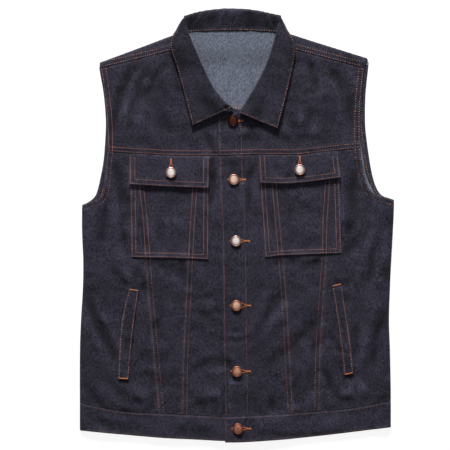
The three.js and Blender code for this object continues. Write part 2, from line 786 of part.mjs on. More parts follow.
function addWaistband() {
  const shares = [0, 0.5, 1];
  const point = (x, outerX, innerX, outerZ, innerZ) => ({ x, outerX, innerX, outerZ, innerZ });
  const level = (x, top) => point(x, x, x, top, (z) => top(z) - DOUBLE);
  const lattice = latticeLines(0, SIDE_LINE);
  const round = (side) => {
    const sign = SIGN[side];
    const centre = sideFold[side](-320) - sign * FOLD_REACH;
    return Array.from({ length: FOLD_STEPS + 1 }, (_, i) => {
      const part = (y) => bend(bandTop(centre, y), DOUBLE)[i];
      const { outer, inner } = part(-320);
      return point(
        centre,
        centre + sign * outer.reach,
        centre + sign * inner.reach,
        (y) => part(y).outer.z,
        (y) => part(y).inner.z,
      );
    });
  };
  const under = (x) => level(x, (y) => bandTop(x, y));
  const over = (x) => level(x, (y) => bandTop(x, y) + lapRise(x, DOUBLE));
  const beneath = latticeLines(-SIDE_LINE, SIDE_LINE).map((x) => point(x, x, x, () => 0, () => DOUBLE));
  const section = [
    under(UNDER_EDGE),
    ...lattice.map((x) => under(-x)),
    ...round('right'),
    ...beneath,
    ...round('left').reverse(),
    ...lattice.map((x) => over(x)).reverse(),
    over(frontEdge(-335)),
  ];
  const face = (which) => shares.map((share) => section.map((p) => {
    const low = hem(p.x);
    const y = low + (waistSeam(p.x) - gapHalf - low) * share;
    return new THREE.Vector3(p[`${which}X`], y, p[`${which}Z`](y));
  }));
  add('waistband', wall(face('outer'), face('inner')));
}

// Collar

// At the back the stand rises from the neck seam, rolls over, and the fall lies underneath
function addCollarBack() {
  const outerRadius = NECK_LIFT;
  const standTop = 2 * outerRadius;
  const ends = { right: COLLAR_TOP[0].x, left: COLLAR_TOP.at(-1).x };
  const columns = Array.from({ length: 15 }, (_, i) => {
    const x = ends.right + ((ends.left - ends.right) * i) / 14;
    const centre = collarRoll(x) - outerRadius;
    const low = collarFall(x);
    const seam = backNeck(x) + SEAM_GAP;
    const fall = [0, 0.5, 0.9].map((s) => ({ y: low + s * (centre - low), outer: 0, inner: DOUBLE }));
    const roll = Array.from({ length: 7 }, (_, k) => {
      const angle = Math.PI * (k / 6 - 0.5);
      const innerRadius = outerRadius - DOUBLE;
      return {
        outerY: centre + outerRadius * Math.cos(angle),
        innerY: centre + innerRadius * Math.cos(angle),
        outer: outerRadius * (1 + Math.sin(angle)),
        inner: outerRadius + innerRadius * Math.sin(angle),
      };
    });
    const stand = [0.3, 0.65, 1].map((s) => ({
      y: centre + s * (seam - centre),
      outer: standTop,
      inner: standTop - DOUBLE,
    }));
    return [...fall, ...roll, ...stand].map((p) => ({
      outer: new THREE.Vector3(x, p.outerY ?? p.y, p.outer),
      inner: new THREE.Vector3(x, p.innerY ?? p.y, p.inner),
    }));
  });
  const middle = solid(wall(columns.map((c) => c.map((p) => p.outer)), columns.map((c) => c.map((p) => p.inner))));
  const whole = SIDES.reduce((rest, side) => {
    const x = ends[side] - SIGN[side];
    const edge = COLLAR_EDGE[side].slice(0, 3).map((p) => new THREE.Vector2(p.x - SIGN[side] * 0.6, p.y));
    const corner = new THREE.Vector2(COLLAR_CORNER[side].x, COLLAR_CORNER[side].y);
    const lower = new THREE.Vector2(x, collarFall(x) + JOIN_OVERLAP);
    return rest.add(prism([new THREE.Vector2(x, corner.y), corner, ...edge, lower], 0, DOUBLE));
  }, middle);
  add('collar_back', geometryOf(whole));
}

// What a leaf lies on: the left front's edge lies under the right leaf too
function leafGround(side, x, y) {
  if (side === 'left') return outerFace.left(x, y);
  return frontTop(x, y) + lapRise(x) * smooth(-62, -34, x);
}

// A leaf's section, from the neck seam along the folded stand, round the roll and out to its edge
function leafSection(side, share, roll, edge) {
  const width = roll.distanceTo(edge);
  const out = edge.clone().sub(roll).divideScalar(width);
  const ground = (q) => leafGround(side, roll.x + out.x * q, roll.y + out.y * q);
  const half = DOUBLE / 2;
  const stand = Math.min(COLLAR_STAND.top + (COLLAR_STAND.bottom - COLLAR_STAND.top) * share, 0.45 * width);
  const bendAt = COLLAR_BEND + half;
  const low = (q) => ground(q) + 2 * LAY_GAP + half;
  const high = (q) => low(q) + 2 * COLLAR_BEND * (1 - smooth(stand, stand + 20, q));
  const wrap = 1 - smooth(COLLAR_WRAP.full, COLLAR_WRAP.none, share);
  const last = width - half * wrap;
  const reach = Math.min(6, 0.3 * width);
  const wrapFrom = last - reach;
  const drop = wrap * (high(wrapFrom) - DOUBLE - SEAM_GAP);
  const points = [stand, (stand + bendAt) / 2, bendAt].map((q) => ({ q, z: low(q) }));
  for (const turn of [0.25, 0.5, 0.75]) {
    const angle = Math.PI * (1.5 - turn);
    points.push({
      q: bendAt + COLLAR_BEND * Math.cos(angle),
      z: low(bendAt) + COLLAR_BEND * (1 + Math.sin(angle)),
    });
  }
  for (let i = 0; i <= 5; i += 1) {
    const q = bendAt + ((wrapFrom - bendAt) * i) / 5;
    points.push({ q, z: high(q) });
  }
  for (const turn of [1 / 3, 2 / 3, 1]) {
    const angle = (Math.PI / 2) * turn;
    const q = wrapFrom + reach * Math.sin(angle);
    points.push({ q, z: high(q) * (1 - wrap) + high(wrapFrom) * wrap - drop * (1 - Math.cos(angle)) });
  }
  const faceAt = (sense) => points.map((p, i) => {
    const a = points[Math.max(i - 1, 0)];
    const b = points[Math.min(i + 1, points.length - 1)];
    const along = Math.hypot(b.q - a.q, b.z - a.z);
    const q = p.q - (sense * half * (b.z - a.z)) / along;
    const z = p.z + (sense * half * (b.q - a.q)) / along;
    return new THREE.Vector3(roll.x + out.x * q, roll.y + out.y * q, z);
  });
  return { outer: faceAt(1), inner: faceAt(-1) };
}

function addCollarLeaf(side) {
  const roll = path(COLLAR_ROLL[side]);
  const edge = path(COLLAR_EDGE[side]);
  const sections = Array.from({ length: COLLAR_ROWS + 1 }, (_, i) => {
    const share = i / COLLAR_ROWS;
    return leafSection(side, share, roll.getPointAt(share), edge.getPointAt(share));
  });
  add(`collar_leaf_${side}`, wall(sections.map((s) => s.outer), sections.map((s) => s.inner)));
}

// Buttons

function addButton(name, seat, top) {
  const profile = BUTTON_PROFILE.map((row) => new THREE.Vector2(row.r, row.z));
  const geometry = new THREE.LatheGeometry(profile, BUTTON_SIDES);
  geometry.deleteAttribute('normal');
  geometry.deleteAttribute('uv');
  geometry.rotateX(Math.PI / 2);
  geometry.translate(seat.x, seat.y, top + BUTTON_SEAT);
  add(name, mergeVertices(geometry, 1e-4), COPPER);
}

addBackPanel();
addBackYoke();
SIDES.forEach(addFront);
SIDES.forEach(addPocket);
addWaistband();
addCollarBack();
SIDES.forEach(addCollarLeaf);
BUTTONS.front.forEach((seat, i) => {
  const onBand = seat.y < waistSeam(seat.x);
  const top = onBand ? bandTop(seat.x, seat.y) + lapRise(seat.x, DOUBLE) : outerFace.left(seat.x, seat.y);
  addButton(`button_front_${i + 1}`, seat, top);
});
SIDES.forEach((side) => {
  const seat = BUTTONS[`flap_${side}`];
  addButton(`button_flap_${side}`, seat, flapTop[side](seat.x, seat.y));
});

export default group;
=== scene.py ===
import math

import bpy
import numpy as np
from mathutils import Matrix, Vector
from mathutils.geometry import delaunay_2d_cdt


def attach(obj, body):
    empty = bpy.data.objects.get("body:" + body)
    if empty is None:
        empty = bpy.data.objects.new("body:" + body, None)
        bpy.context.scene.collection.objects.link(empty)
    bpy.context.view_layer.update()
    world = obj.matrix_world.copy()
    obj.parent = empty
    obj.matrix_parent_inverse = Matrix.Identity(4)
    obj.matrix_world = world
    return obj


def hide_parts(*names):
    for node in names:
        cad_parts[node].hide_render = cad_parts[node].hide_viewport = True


# A men's denim vest that lies buttoned on its back, seen from straight above.
# Patterns and places are in millimetres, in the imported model's frame, and each mesh turns them to metres.
# Left and right are the wearer's, and the left front lies over the right.
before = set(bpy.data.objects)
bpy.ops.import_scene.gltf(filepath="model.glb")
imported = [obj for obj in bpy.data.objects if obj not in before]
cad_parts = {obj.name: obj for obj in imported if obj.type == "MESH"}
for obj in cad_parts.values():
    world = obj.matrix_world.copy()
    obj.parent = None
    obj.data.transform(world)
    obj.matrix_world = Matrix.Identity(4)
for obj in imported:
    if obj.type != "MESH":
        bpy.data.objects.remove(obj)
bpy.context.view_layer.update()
MM = 0.001
SIDES = ("left", "right")
SIGN = {"left": 1, "right": -1}  # of x on each side


# Back panel
# One flat piece of heavy indigo denim, from the back yoke's seam to the waistband, face down on
# the surface. Its sides run to the side seams, which lie underneath, and its armholes are hemmed.

CLOTH = 1.2  # one layer
DOUBLE = 2.2  # two layers sewn together
STEP = 2.6  # between the points of a cloth's mesh
BACK_STEP = 4.2
RIM_RUN = 1.1  # an edge is rounded over this width
RIM_DROP = 0.45
PUCKER_SIZE = 8.5  # from one pucker to the next along a seam
PUCKER_AT = 4  # how far from an edge its seam gathers the cloth most
PUCKER_REACH = 4.5
RUBBED_REACH = 2.2  # how far from an edge the dye is rubbed off
SEAM_GAP = 0.1  # each piece stops this much short of its seam
BACK_GAP = 0.3  # and the back this much
CLOSEST = 0.3  # points of an outline that come closer are left out
LINE_POINTS = 120  # on a line before it is divided evenly
WAVES = 7
UNDER_WIDTH = 28  # from a side fold to its side seam
BACK_YOKE_SEAM = 190

# y: x of the left fold, x of the right fold
SIDE_FOLDS = {
    -360: (253.4, -258.6),
    -285: (253.8, -259),
    -206: (252.4, -258.8),
    -155: (250.8, -257),
    -100: (252.6, -253.9),
    -60: (254.4, -253.4),
    -8: (257.4, -255.4),
    32: (259, -255.3),
    60: (259.5, -255),
}
# x: y of the waistband's seam, y of the hem
WAIST = {
    -258: (-293, -338),
    -193: (-306.4, -344.2),
    -127: (-310.5, -349.8),
    -61: (-313.8, -353.3),
    -20: (-315.5, -355.2),
    54: (-313, -354.4),
    120: (-308, -348.6),
    187: (-302.3, -340.8),
    253: (-290, -332.6),
}
# Points from the shoulder down to the underarm
BACK_ARMHOLE = {
    "left": [
        (219, 282), (216.2, 256), (212.2, 216), (211.4, 176), (213.2, 148),
        (220.4, 97.8), (226.5, 71.4), (232.3, 58), (237, 51.2), (242.5, 47.6), (250, 45), (256, 43),
        (262, 40.8), (280, 33),
    ],
    "right": [
        (-228.6, 280), (-226.5, 256), (-219.8, 216.6), (-216.2, 170), (-218.3, 124),
        (-221.3, 97.8), (-226.5, 71.4), (-230, 57.5), (-233.4, 48.8), (-239.6, 42), (-246.5, 37.4),
        (-253.4, 34), (-262, 30.5), (-280, 24),
    ],
}


def smooth(start, end, value):
    """Eases from 0 at the start to 1 at the end."""
    t = np.clip((value - start) / (end - start), 0, 1)
    return t * t * (3 - 2 * t)


def between(rise, fall, value):
    """1 from the end of the rise to the start of the fall, and 0 beyond them."""
    return smooth(*rise, value) * (1 - smooth(*fall, value))


def curve(rows, column=None):
    """A smooth curve through a table's rows, straight on beyond its ends."""
    keys = np.array(sorted(rows), float)
    values = np.array([rows[k] if column is None else rows[k][column] for k in sorted(rows)], float)
    ahead = np.minimum(np.arange(len(keys)) + 1, len(keys) - 1)
    behind = np.maximum(np.arange(len(keys)) - 1, 0)
    slopes = (values[ahead] - values[behind]) / (keys[ahead] - keys[behind])

    def at(key):
        key = np.asarray(key, float)
        i = np.clip(np.searchsorted(keys, key) - 1, 0, len(keys) - 2)
        span = keys[i + 1] - keys[i]
        t = (key - keys[i]) / span
        start = values[i] * (1 + 2 * t) * (1 - t) ** 2 + span * slopes[i] * t * (1 - t) ** 2
        end = values[i + 1] * t * t * (3 - 2 * t) + span * slopes[i + 1] * t * t * (t - 1)
        low = values[0] + (key - keys[0]) * slopes[0]
        high = values[-1] + (key - keys[-1]) * slopes[-1]
        return np.where(key < keys[0], low, np.where(key > keys[-1], high, start + end))

    return at


def level(value):
    """A curve that has the same value everywhere."""
    return lambda at: value + 0 * at


def shifted(line, by):
    return lambda at: line(at) + by


side_fold = {"left": curve(SIDE_FOLDS, 0), "right": curve(SIDE_FOLDS, 1)}
waist_seam = curve(WAIST, 0)
hem = curve(WAIST, 1)


def run_along(points):
    """How far along its line each point lies."""
    return np.concatenate([[0], np.cumsum(np.linalg.norm(np.diff(points, axis=0), axis=1))])


def at_run(points, run, at):
    """The points that lie the given lengths along a line."""
    return np.stack([np.interp(at, run, points[:, k]) for k in range(points.shape[1])], axis=-1)


def even(points, step):
    """Points a step apart along a line of points, both ends kept."""
    points = np.asarray(points, float)
    run = run_along(points)
    count = max(int(round(run[-1] / step)), 1)
    return at_run(points, run, np.linspace(0, run[-1], count + 1))


def along(points, step=STEP):
    """Points a step apart on a smooth line through the given ones."""
    rows = dict(enumerate(points))
    t = np.linspace(0, len(points) - 1, 24 * len(points))
    return even(np.stack([curve(rows, k)(t) for k in range(len(points[0]))], axis=1), step)


def across(height, x0, x1, step=STEP):
    """A line of points on the curve y = height(x)."""
    x = np.linspace(x0, x1, LINE_POINTS)
    return even(np.stack([x, height(x)], axis=1), step)


def upright(place, y0, y1, step=STEP):
    """A line of points on the curve x = place(y)."""
    y = np.linspace(y0, y1, LINE_POINTS)
    return even(np.stack([place(y), y], axis=1), step)


def waves(x, y, size, seed):
    """Soft uneven waves, mostly between -1 and 1, about a size across."""
    whole_turn = 6.28
    lowest, highest = (0, 0, 0.7), (whole_turn, whole_turn, 1.5)
    draw = np.random.default_rng(seed)
    total = 0
    for turn, phase, stretch in draw.uniform(lowest, highest, (WAVES, 3)):
        run = x * math.cos(turn) + y * math.sin(turn)
        total = total + np.sin(whole_turn / (size * stretch) * run + phase)
    return total / 2.2


def outline_of(*lines):
    """One closed outline from lines that follow each other."""
    points = np.concatenate(lines)
    keep = np.linalg.norm(points - np.roll(points, 1, axis=0), axis=1) > CLOSEST
    points = points[keep]
    x, y = points.T
    turned = np.sum(x * np.roll(y, -1) - np.roll(x, -1) * y) < 0
    return points[::-1] if turned else points


def edge_distance(points, outline):
    """How far each point lies inside an outline, below zero outside it."""
    a, b = outline, np.roll(outline, -1, axis=0)
    ab = b - a
    result = np.empty(len(points))
    batch = 1500
    for start in range(0, len(points), batch):
        p = points[start:start + batch, None]
        t = np.clip(np.sum((p - a) * ab, axis=2) / np.sum(ab * ab, axis=1), 0, 1)
        near = np.linalg.norm(p - a - t[..., None] * ab, axis=2).min(axis=1)
        rises = (a[:, 1] > p[..., 1]) != (b[:, 1] > p[..., 1])
        cross_x = a[:, 0] + (p[..., 1] - a[:, 1]) / np.where(ab[:, 1] == 0, 1, ab[:, 1]) * ab[:, 0]
        inside = np.sum(rises & (p[..., 0] < cross_x), axis=1) % 2 == 1
        result[start:start + batch] = np.where(inside, near, -near)
    return result


def lay_out(outline, step):
    """Fills an outline with points, close together at its edge, and joins them in triangles."""
    tangent = np.roll(outline, -1, axis=0) - np.roll(outline, 1, axis=0)
    inward = np.stack([-tangent[:, 1], tangent[:, 0]], axis=1) / np.linalg.norm(tangent, axis=1)[:, None]
    low, high = outline.min(axis=0), outline.max(axis=0)
    rows = np.arange(low[1], high[1], step * 0.866)  # the height of an even triangle
    lattice = np.array([
        (x, y)
        for k, y in enumerate(rows)
        for x in np.arange(low[0] + step / 2 * (k % 2), high[0], step)
    ])
    clear_of_rim = RIM_RUN + step * 0.6
    inner = [lattice[edge_distance(lattice, outline) > clear_of_rim]]
    for inset in (RIM_RUN * 0.4, RIM_RUN):
        ring = outline + inward * inset
        clear_of_corners = edge_distance(ring, outline) > inset * 0.8
        inner.append(ring[clear_of_corners])
    points = np.concatenate([outline, *inner])
    edges = [(i, (i + 1) % len(outline)) for i in range(len(outline))]
    made, _, faces, _, _, _ = delaunay_2d_cdt([tuple(p) for p in points], edges, [], 1, 1e-6)
    made, faces = np.array([tuple(p) for p in made]), np.array(faces)
    used = np.unique(faces)
    place = np.full(len(made), -1)
    place[used] = np.arange(len(used))
    return made[used], place[faces]


def rim_edges(faces):
    """The edges that only one triangle has, in its order."""
    edges = np.concatenate([faces[:, [0, 1]], faces[:, [1, 2]], faces[:, [2, 0]]])
    known = {tuple(e) for e in edges}
    return np.array([e for e in edges if (e[1], e[0]) not in known])


def make_mesh(name, points, faces, materials, finish=None, sharp=50):
    """A mesh from points in millimetres. finish gives each face the number of its material."""
    mesh = bpy.data.meshes.new(name)
    mesh.from_pydata((np.asarray(points) * MM).tolist(), [], [list(map(int, f)) for f in faces])
    for material in materials:
        mesh.materials.append(material)
    if finish is not None:
        mesh.polygons.foreach_set("material_index", np.asarray(finish, dtype=np.int32))
    mesh.polygons.foreach_set("use_smooth", np.ones(len(mesh.polygons), dtype=bool))
    mesh.set_sharp_from_angle(angle=math.radians(sharp))
    mesh.update()
    piece = bpy.data.objects.new(name, mesh)
    bpy.context.scene.collection.objects.link(piece)
    return piece


def mark(piece, name, values):
    """Keeps a value for each point, which the materials read."""
    layer = piece.data.attributes.new(name, "FLOAT", "POINT")
    layer.data.foreach_set("value", np.asarray(values, np.float32))


def placed(place, x, y, over):
    """Pattern points, each over the face by its own height, as points in space."""
    return np.stack(np.broadcast_arrays(*place(x, y, np.full(len(x), 0.0) + over)), axis=1)


def rubbed(x, y, off):
    """How much dye is rubbed off, this far from an edge."""
    worn = np.exp(-((off / RUBBED_REACH) ** 2)) * (0.65 + 0.35 * waves(x, y, size=7, seed=5))
    return np.clip(worn, 0, 1)


def rounded_rim(off):
    """How far a rounded edge drops, this far from it."""
    return RIM_DROP * (1 - np.clip(off / RIM_RUN, 0, 1)) ** 2


def cloth_piece(name, outline, place, thickness=CLOTH, step=STEP, relief=None, pucker=0.2, tone=None):
    """A closed layer of cloth over an outline. place turns a pattern point, with its height over
    the face, into a point in space. The face has the outer denim, the other side the inner one."""
    flat, faces = lay_out(outline, step)
    x, y = flat.T
    off = np.maximum(edge_distance(flat, outline), 0)
    at_seam = np.exp(-(((off - PUCKER_AT) / PUCKER_REACH) ** 2))
    gather = pucker * waves(x, y, PUCKER_SIZE, seed=len(name)) * at_seam
    top = placed(place, x, y, gather - rounded_rim(off) + (relief(x, y) if relief else 0))
    under = placed(place, x, y, -float(thickness))
    count = len(flat)
    wall = [(a, a + count, b + count, b) for a, b in rim_edges(faces)]
    every = [*faces.tolist(), *(faces[:, ::-1] + count).tolist(), *wall]
    finish = [0] * len(faces) + [1] * len(faces) + [0] * len(wall)
    points = np.concatenate([top, under])
    points[:, 2] = np.maximum(points[:, 2], 0)  # the ground presses it flat
    piece = make_mesh(name, points, every, (DENIM_FACE, DENIM_INSIDE), finish)
    mark(piece, "wear", np.tile(rubbed(x, y, off), 2))
    # The fold mark is painted shade in the folds' troughs and paler dye on their ridges.
    if tone:
        mark(piece, "fold", np.concatenate([tone(top[:, 0], top[:, 1]), np.zeros(count)]))
    a, b, c = (top[faces[:, k]] for k in range(3))
    piece["face_area"] = float(np.linalg.norm(np.cross(b - a, c - a), axis=1).sum() / 2) * MM * MM
    return piece


def declare(piece, *nodes, flat):
    """Attaches a piece of cloth to the root and hides the solids it stands for.
    flat, the rectangle that its flat pattern fits in, is not used."""
    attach(piece, "root")
    if nodes:
        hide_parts(*nodes)


def shader_group(name, inputs, outputs):
    """A node group with named sockets, and its two ends."""
    tree = bpy.data.node_groups.new(name, "ShaderNodeTree")
    for label, kind, value in inputs:
        socket = tree.interface.new_socket(label, in_out="INPUT", socket_type=kind)
        if value is not None:
            socket.default_value = value
    for label, kind in outputs:
        tree.interface.new_socket(label, in_out="OUTPUT", socket_type=kind)
    return tree, tree.nodes.new("NodeGroupInput"), tree.nodes.new("NodeGroupOutput")


def node(tree, kind, inputs=None, **settings):
    """A shader node. Each input is a value, or the socket that feeds it."""
    made = tree.nodes.new(kind)
    for key, value in settings.items():
        setattr(made, key, value)
    for key, value in (inputs or {}).items():
        if isinstance(value, bpy.types.NodeSocket):
            tree.links.new(value, made.inputs[key])
        else:
            made.inputs[key].default_value = value
    return made


def math_node(tree, operation, *values, clamp=False):
    inputs = dict(enumerate(values))
    return node(tree, "ShaderNodeMath", inputs, operation=operation, use_clamp=clamp).outputs[0]


def mix_colours(tree, share, a, b):
    inputs = {0: share, 6: a, 7: b}
    return node(tree, "ShaderNodeMix", inputs, data_type="RGBA", clamp_factor=True).outputs[2]


def grain(tree, cloth, scale, detail=2.0, rough=0.5):
    """Noise between 0 and 1 with its own stretch, in features a metre."""
    vector = node(tree, "ShaderNodeMapping", {"Vector": cloth, "Scale": scale}).outputs[0]
    return node(tree, "ShaderNodeTexNoise", {
        "Vector": vector, "Scale": 1.0, "Detail": detail, "Roughness": rough,
    }).outputs["Fac"]


def marked(tree, name):
    """A value that the mesh keeps for each point."""
    return node(tree, "ShaderNodeAttribute", attribute_name=name).outputs["Fac"]


def twill_group():
    """Twill of dyed warp over pale weft: slubby threads, fine diagonal ribs and cloudy dye."""
    tree, start, end = shader_group("twill", [
        ("Cloth", "NodeSocketVector", None),
        ("Dark", "NodeSocketColor", (0.01, 0.01, 0.02, 1)),
        ("Light", "NodeSocketColor", (0.05, 0.05, 0.07, 1)),
        ("Cloud", "NodeSocketFloat", 0.3),
    ], [("Color", "NodeSocketColor"), ("Height", "NodeSocketFloat")])
    cloth = start.outputs["Cloth"]
    split = node(tree, "ShaderNodeSeparateXYZ", {"Vector": cloth})
    ribs_x = math_node(tree, "MULTIPLY", split.outputs["X"], 6200.0)
    ribs_y = math_node(tree, "MULTIPLY", split.outputs["Y"], 3600.0)
    ribs = math_node(tree, "SINE", math_node(tree, "ADD", ribs_x, ribs_y))
    warp = grain(tree, cloth, (760, 230, 300), 2.0, 0.6)
    speck = grain(tree, cloth, (330, 280, 300), 2.0, 0.6)
    cloud = grain(tree, cloth, (26, 17, 20), 5.0, 0.68)
    slub = math_node(tree, "MULTIPLY_ADD", warp, 3.2, -1.1)
    fleck = math_node(tree, "MULTIPLY_ADD", speck, 4.2, -1.6)
    half_slub = math_node(tree, "MULTIPLY", slub, 0.5)
    half_fleck = math_node(tree, "MULTIPLY", fleck, 0.5)
    thread = math_node(tree, "ADD", half_slub, half_fleck)
    cloudy = math_node(tree, "SUBTRACT", cloud, 0.5)
    dye = math_node(tree, "MULTIPLY", cloudy, start.outputs["Cloud"])
    faint_ribs = math_node(tree, "MULTIPLY", ribs, 0.06)
    dyed_thread = math_node(tree, "ADD", thread, dye)
    share = math_node(tree, "ADD", dyed_thread, faint_ribs, clamp=True)
    colour = mix_colours(tree, share, start.outputs["Dark"], start.outputs["Light"])
    height = math_node(tree, "ADD", math_node(tree, "MULTIPLY", ribs, 0.5), thread)
    tree.links.new(colour, end.inputs["Color"])
    tree.links.new(height, end.inputs["Height"])
    return tree


def wear_group():
    """Rubbed dye: edges and seams pale in broken patches, where the wear mask says."""
    tree, start, end = shader_group("rubbed_edges", [
        ("Cloth", "NodeSocketVector", None),
        ("Color", "NodeSocketColor", (0, 0, 0, 1)),
        ("Rubbed", "NodeSocketColor", (0.1, 0.1, 0.14, 1)),
        ("Wear", "NodeSocketFloat", 0.0),
        ("Amount", "NodeSocketFloat", 0.5),
    ], [("Color", "NodeSocketColor")])
    patches = grain(tree, start.outputs["Cloth"], (230, 230, 230), 2.0)
    broken = math_node(tree, "MULTIPLY_ADD", patches, 2.4, -0.7, clamp=True)
    worn = math_node(tree, "MULTIPLY", broken, start.outputs["Wear"])
    share = math_node(tree, "MULTIPLY", worn, start.outputs["Amount"])
    colour = mix_colours(tree, share, start.outputs["Color"], start.outputs["Rubbed"])
    tree.links.new(colour, end.inputs["Color"])
    return tree


def fold_shade_and_fade_group():
    """Painted shade keeps the colour dark in the folds, and the dye fades on the ridges, by their height in
    millimetres.
    """
    tree, start, end = shader_group("painted_fold_shade_and_fade", [
        ("Color", "NodeSocketColor", (0, 0, 0, 1)),
        ("Fold", "NodeSocketFloat", 0.0),
        ("Amount", "NodeSocketFloat", 0.38),
    ], [("Color", "NodeSocketColor")])
    power = math_node(tree, "MULTIPLY", start.outputs["Fold"], start.outputs["Amount"])
    scaled = node(tree, "ShaderNodeVectorMath", {
        0: start.outputs["Color"], "Scale": math_node(tree, "EXPONENT", power),
    }, operation="SCALE")
    tree.links.new(scaled.outputs[0], end.inputs["Color"])
    return tree


TWILL = twill_group()
RUBBED = wear_group()
FOLD_SHADE_AND_FADE = fold_shade_and_fade_group()


def new_material(name, **values):
    """A material with these values on its own shader, its node tree and its shader."""
    material = bpy.data.materials.new(name)
    material.use_nodes = True
    tree = material.node_tree
    surface = tree.nodes["Principled BSDF"]
    for key, value in values.items():
        surface.inputs[key.replace("_", " ")].default_value = value
    return material, tree, surface


def place_on_piece(tree):
    return node(tree, "ShaderNodeTexCoord").outputs["Object"]


def feed(tree, surface, colour, height, strength, distance):
    """Gives a shader its colour and a relief."""
    relief = node(tree, "ShaderNodeBump", {"Height": height, "Strength": strength, "Distance": distance})
    tree.links.new(colour, surface.inputs["Base Color"])
    tree.links.new(relief.outputs[0], surface.inputs["Normal"])


def denim(name, dark, light, cloud, rubbed_dye, amount, bump):
    material, tree, surface = new_material(
        name, Roughness=0.86, Specular_IOR_Level=0.12, Sheen_Weight=0.06, Sheen_Roughness=0.5,
    )
    cloth = place_on_piece(tree)
    weave = node(tree, "ShaderNodeGroup", node_tree=TWILL)
    edges = node(tree, "ShaderNodeGroup", node_tree=RUBBED)
    # This group paints shade into the folds and pales the ridges, from the fold mark.
    folds = node(tree, "ShaderNodeGroup", node_tree=FOLD_SHADE_AND_FADE)
    for group, key, value in (
        (weave, "Dark", (*dark, 1)), (weave, "Light", (*light, 1)), (weave, "Cloud", cloud),
        (edges, "Rubbed", (*rubbed_dye, 1)), (edges, "Amount", amount),
    ):
        group.inputs[key].default_value = value
    for source, group, key in (
        (cloth, weave, "Cloth"), (cloth, edges, "Cloth"),
        (weave.outputs["Color"], edges, "Color"), (marked(tree, "wear"), edges, "Wear"),
        (edges.outputs["Color"], folds, "Color"), (marked(tree, "fold"), folds, "Fold"),
    ):
        tree.links.new(source, group.inputs[key])
    feed(tree, surface, folds.outputs["Color"], weave.outputs["Height"], bump, 0.0002)
    return material


DENIM_FACE = denim(
    "denim_face", dark=(0.005, 0.0046, 0.0082), light=(0.0315, 0.0293, 0.0475), cloud=0.9,
    rubbed_dye=(0.075, 0.07, 0.095), amount=0.6, bump=0.5,
)
DENIM_INSIDE = denim(
    "denim_inside", dark=(0.052, 0.059, 0.081), light=(0.138, 0.152, 0.199), cloud=0.6,
    rubbed_dye=(0.24, 0.25, 0.3), amount=0.3, bump=0.4,
)


def flat_on_surface(x, y, over):
    return x, y, -over


def meets(line, other):
    """Where a curve x(y) and a curve y(x) cross."""
    y = 0.0
    for _ in range(20):
        y = float(other(line(y)))
    return float(line(y)), y


def back_armhole(side, step=BACK_STEP):
    return along(BACK_ARMHOLE[side], step)


def side_seam(side):
    return shifted(side_fold[side], -SIGN[side] * UNDER_WIDTH)


def back_outline():
    parts = []
    for side in ("right", "left"):
        edge = shifted(side_seam(side), -SIGN[side] * BACK_GAP)
        low = meets(edge, waist_seam)
        arm = back_armhole(side)
        arm = arm[(arm[:, 1] < BACK_YOKE_SEAM) & (np.abs(arm[:, 0]) < np.abs(edge(arm[:, 1])))]
        rise = upright(edge, low[1], arm[-1, 1] - 1, BACK_STEP)
        parts.append((low, np.concatenate([rise, arm[::-1]])))
    (low_right, right), (low_left, left) = parts
    bottom = across(waist_seam, low_right[0], low_left[0], BACK_STEP)
    top = across(level(BACK_YOKE_SEAM - 0.2), left[-1, 0], right[-1, 0], BACK_STEP)
    return outline_of(bottom, left, top, right[::-1])


def slightly_wavy(x, y):
    return -0.15 - 0.15 * waves(x, y, size=70, seed=3)


back_panel = cloth_piece(
    "cloth_back_panel", back_outline(), flat_on_surface, step=BACK_STEP, pucker=0,
    relief=slightly_wavy,
)
declare(back_panel, "back_panel", flat=(462, 505))


# Sewing thread
# Heavy rust-coloured thread in lockstitch rows, mostly in pairs along the felled seams.
# Each stitch is a small rounded bar that dips into the cloth at both ends.

STITCH_PITCH = 4.1
STITCH_LENGTH = 1.6
STITCH_RADIUS = 0.64
STITCH_RISE = 0.12  # how far its middle lies over the cloth
STITCH_HALVES = (0.6, 1.3)  # shortest and longest half of a stitch that a bend draws in or out
STITCH_SIDES = 5
# along the half stitch, share of the radius, how far it sinks in radii
STITCH_RINGS = ((-0.62, 0.86, 0.25), (0, 1, 0), (0.62, 0.86, 0.25))
STITCH_END_SINKS = 0.7
STITCH_SHADES = (0.15, 0.6)
PRESSED = 0.15  # how far the stitches beneath stand out of the cloth
STRAIGHT_UP = (0.0, 0.0, 1.0)


def thread_material():
    material, tree, surface = new_material("rust_thread", Roughness=0.6, Specular_IOR_Level=0.25)
    cloth = place_on_piece(tree)
    uneven = grain(tree, cloth, (300, 300, 300), 3.0, 0.6)
    shade = math_node(tree, "MULTIPLY_ADD", uneven, 1.6, -0.05, clamp=True)
    bright = math_node(tree, "SUBTRACT", shade, marked(tree, "dull"), clamp=True)
    colour = mix_colours(tree, bright, (0.12, 0.046, 0.032, 1), (0.84, 0.375, 0.235, 1))
    feed(tree, surface, colour, grain(tree, cloth, (2600, 2600, 2600), 1.0), 0.5, 0.0001)
    return material


THREAD = thread_material()


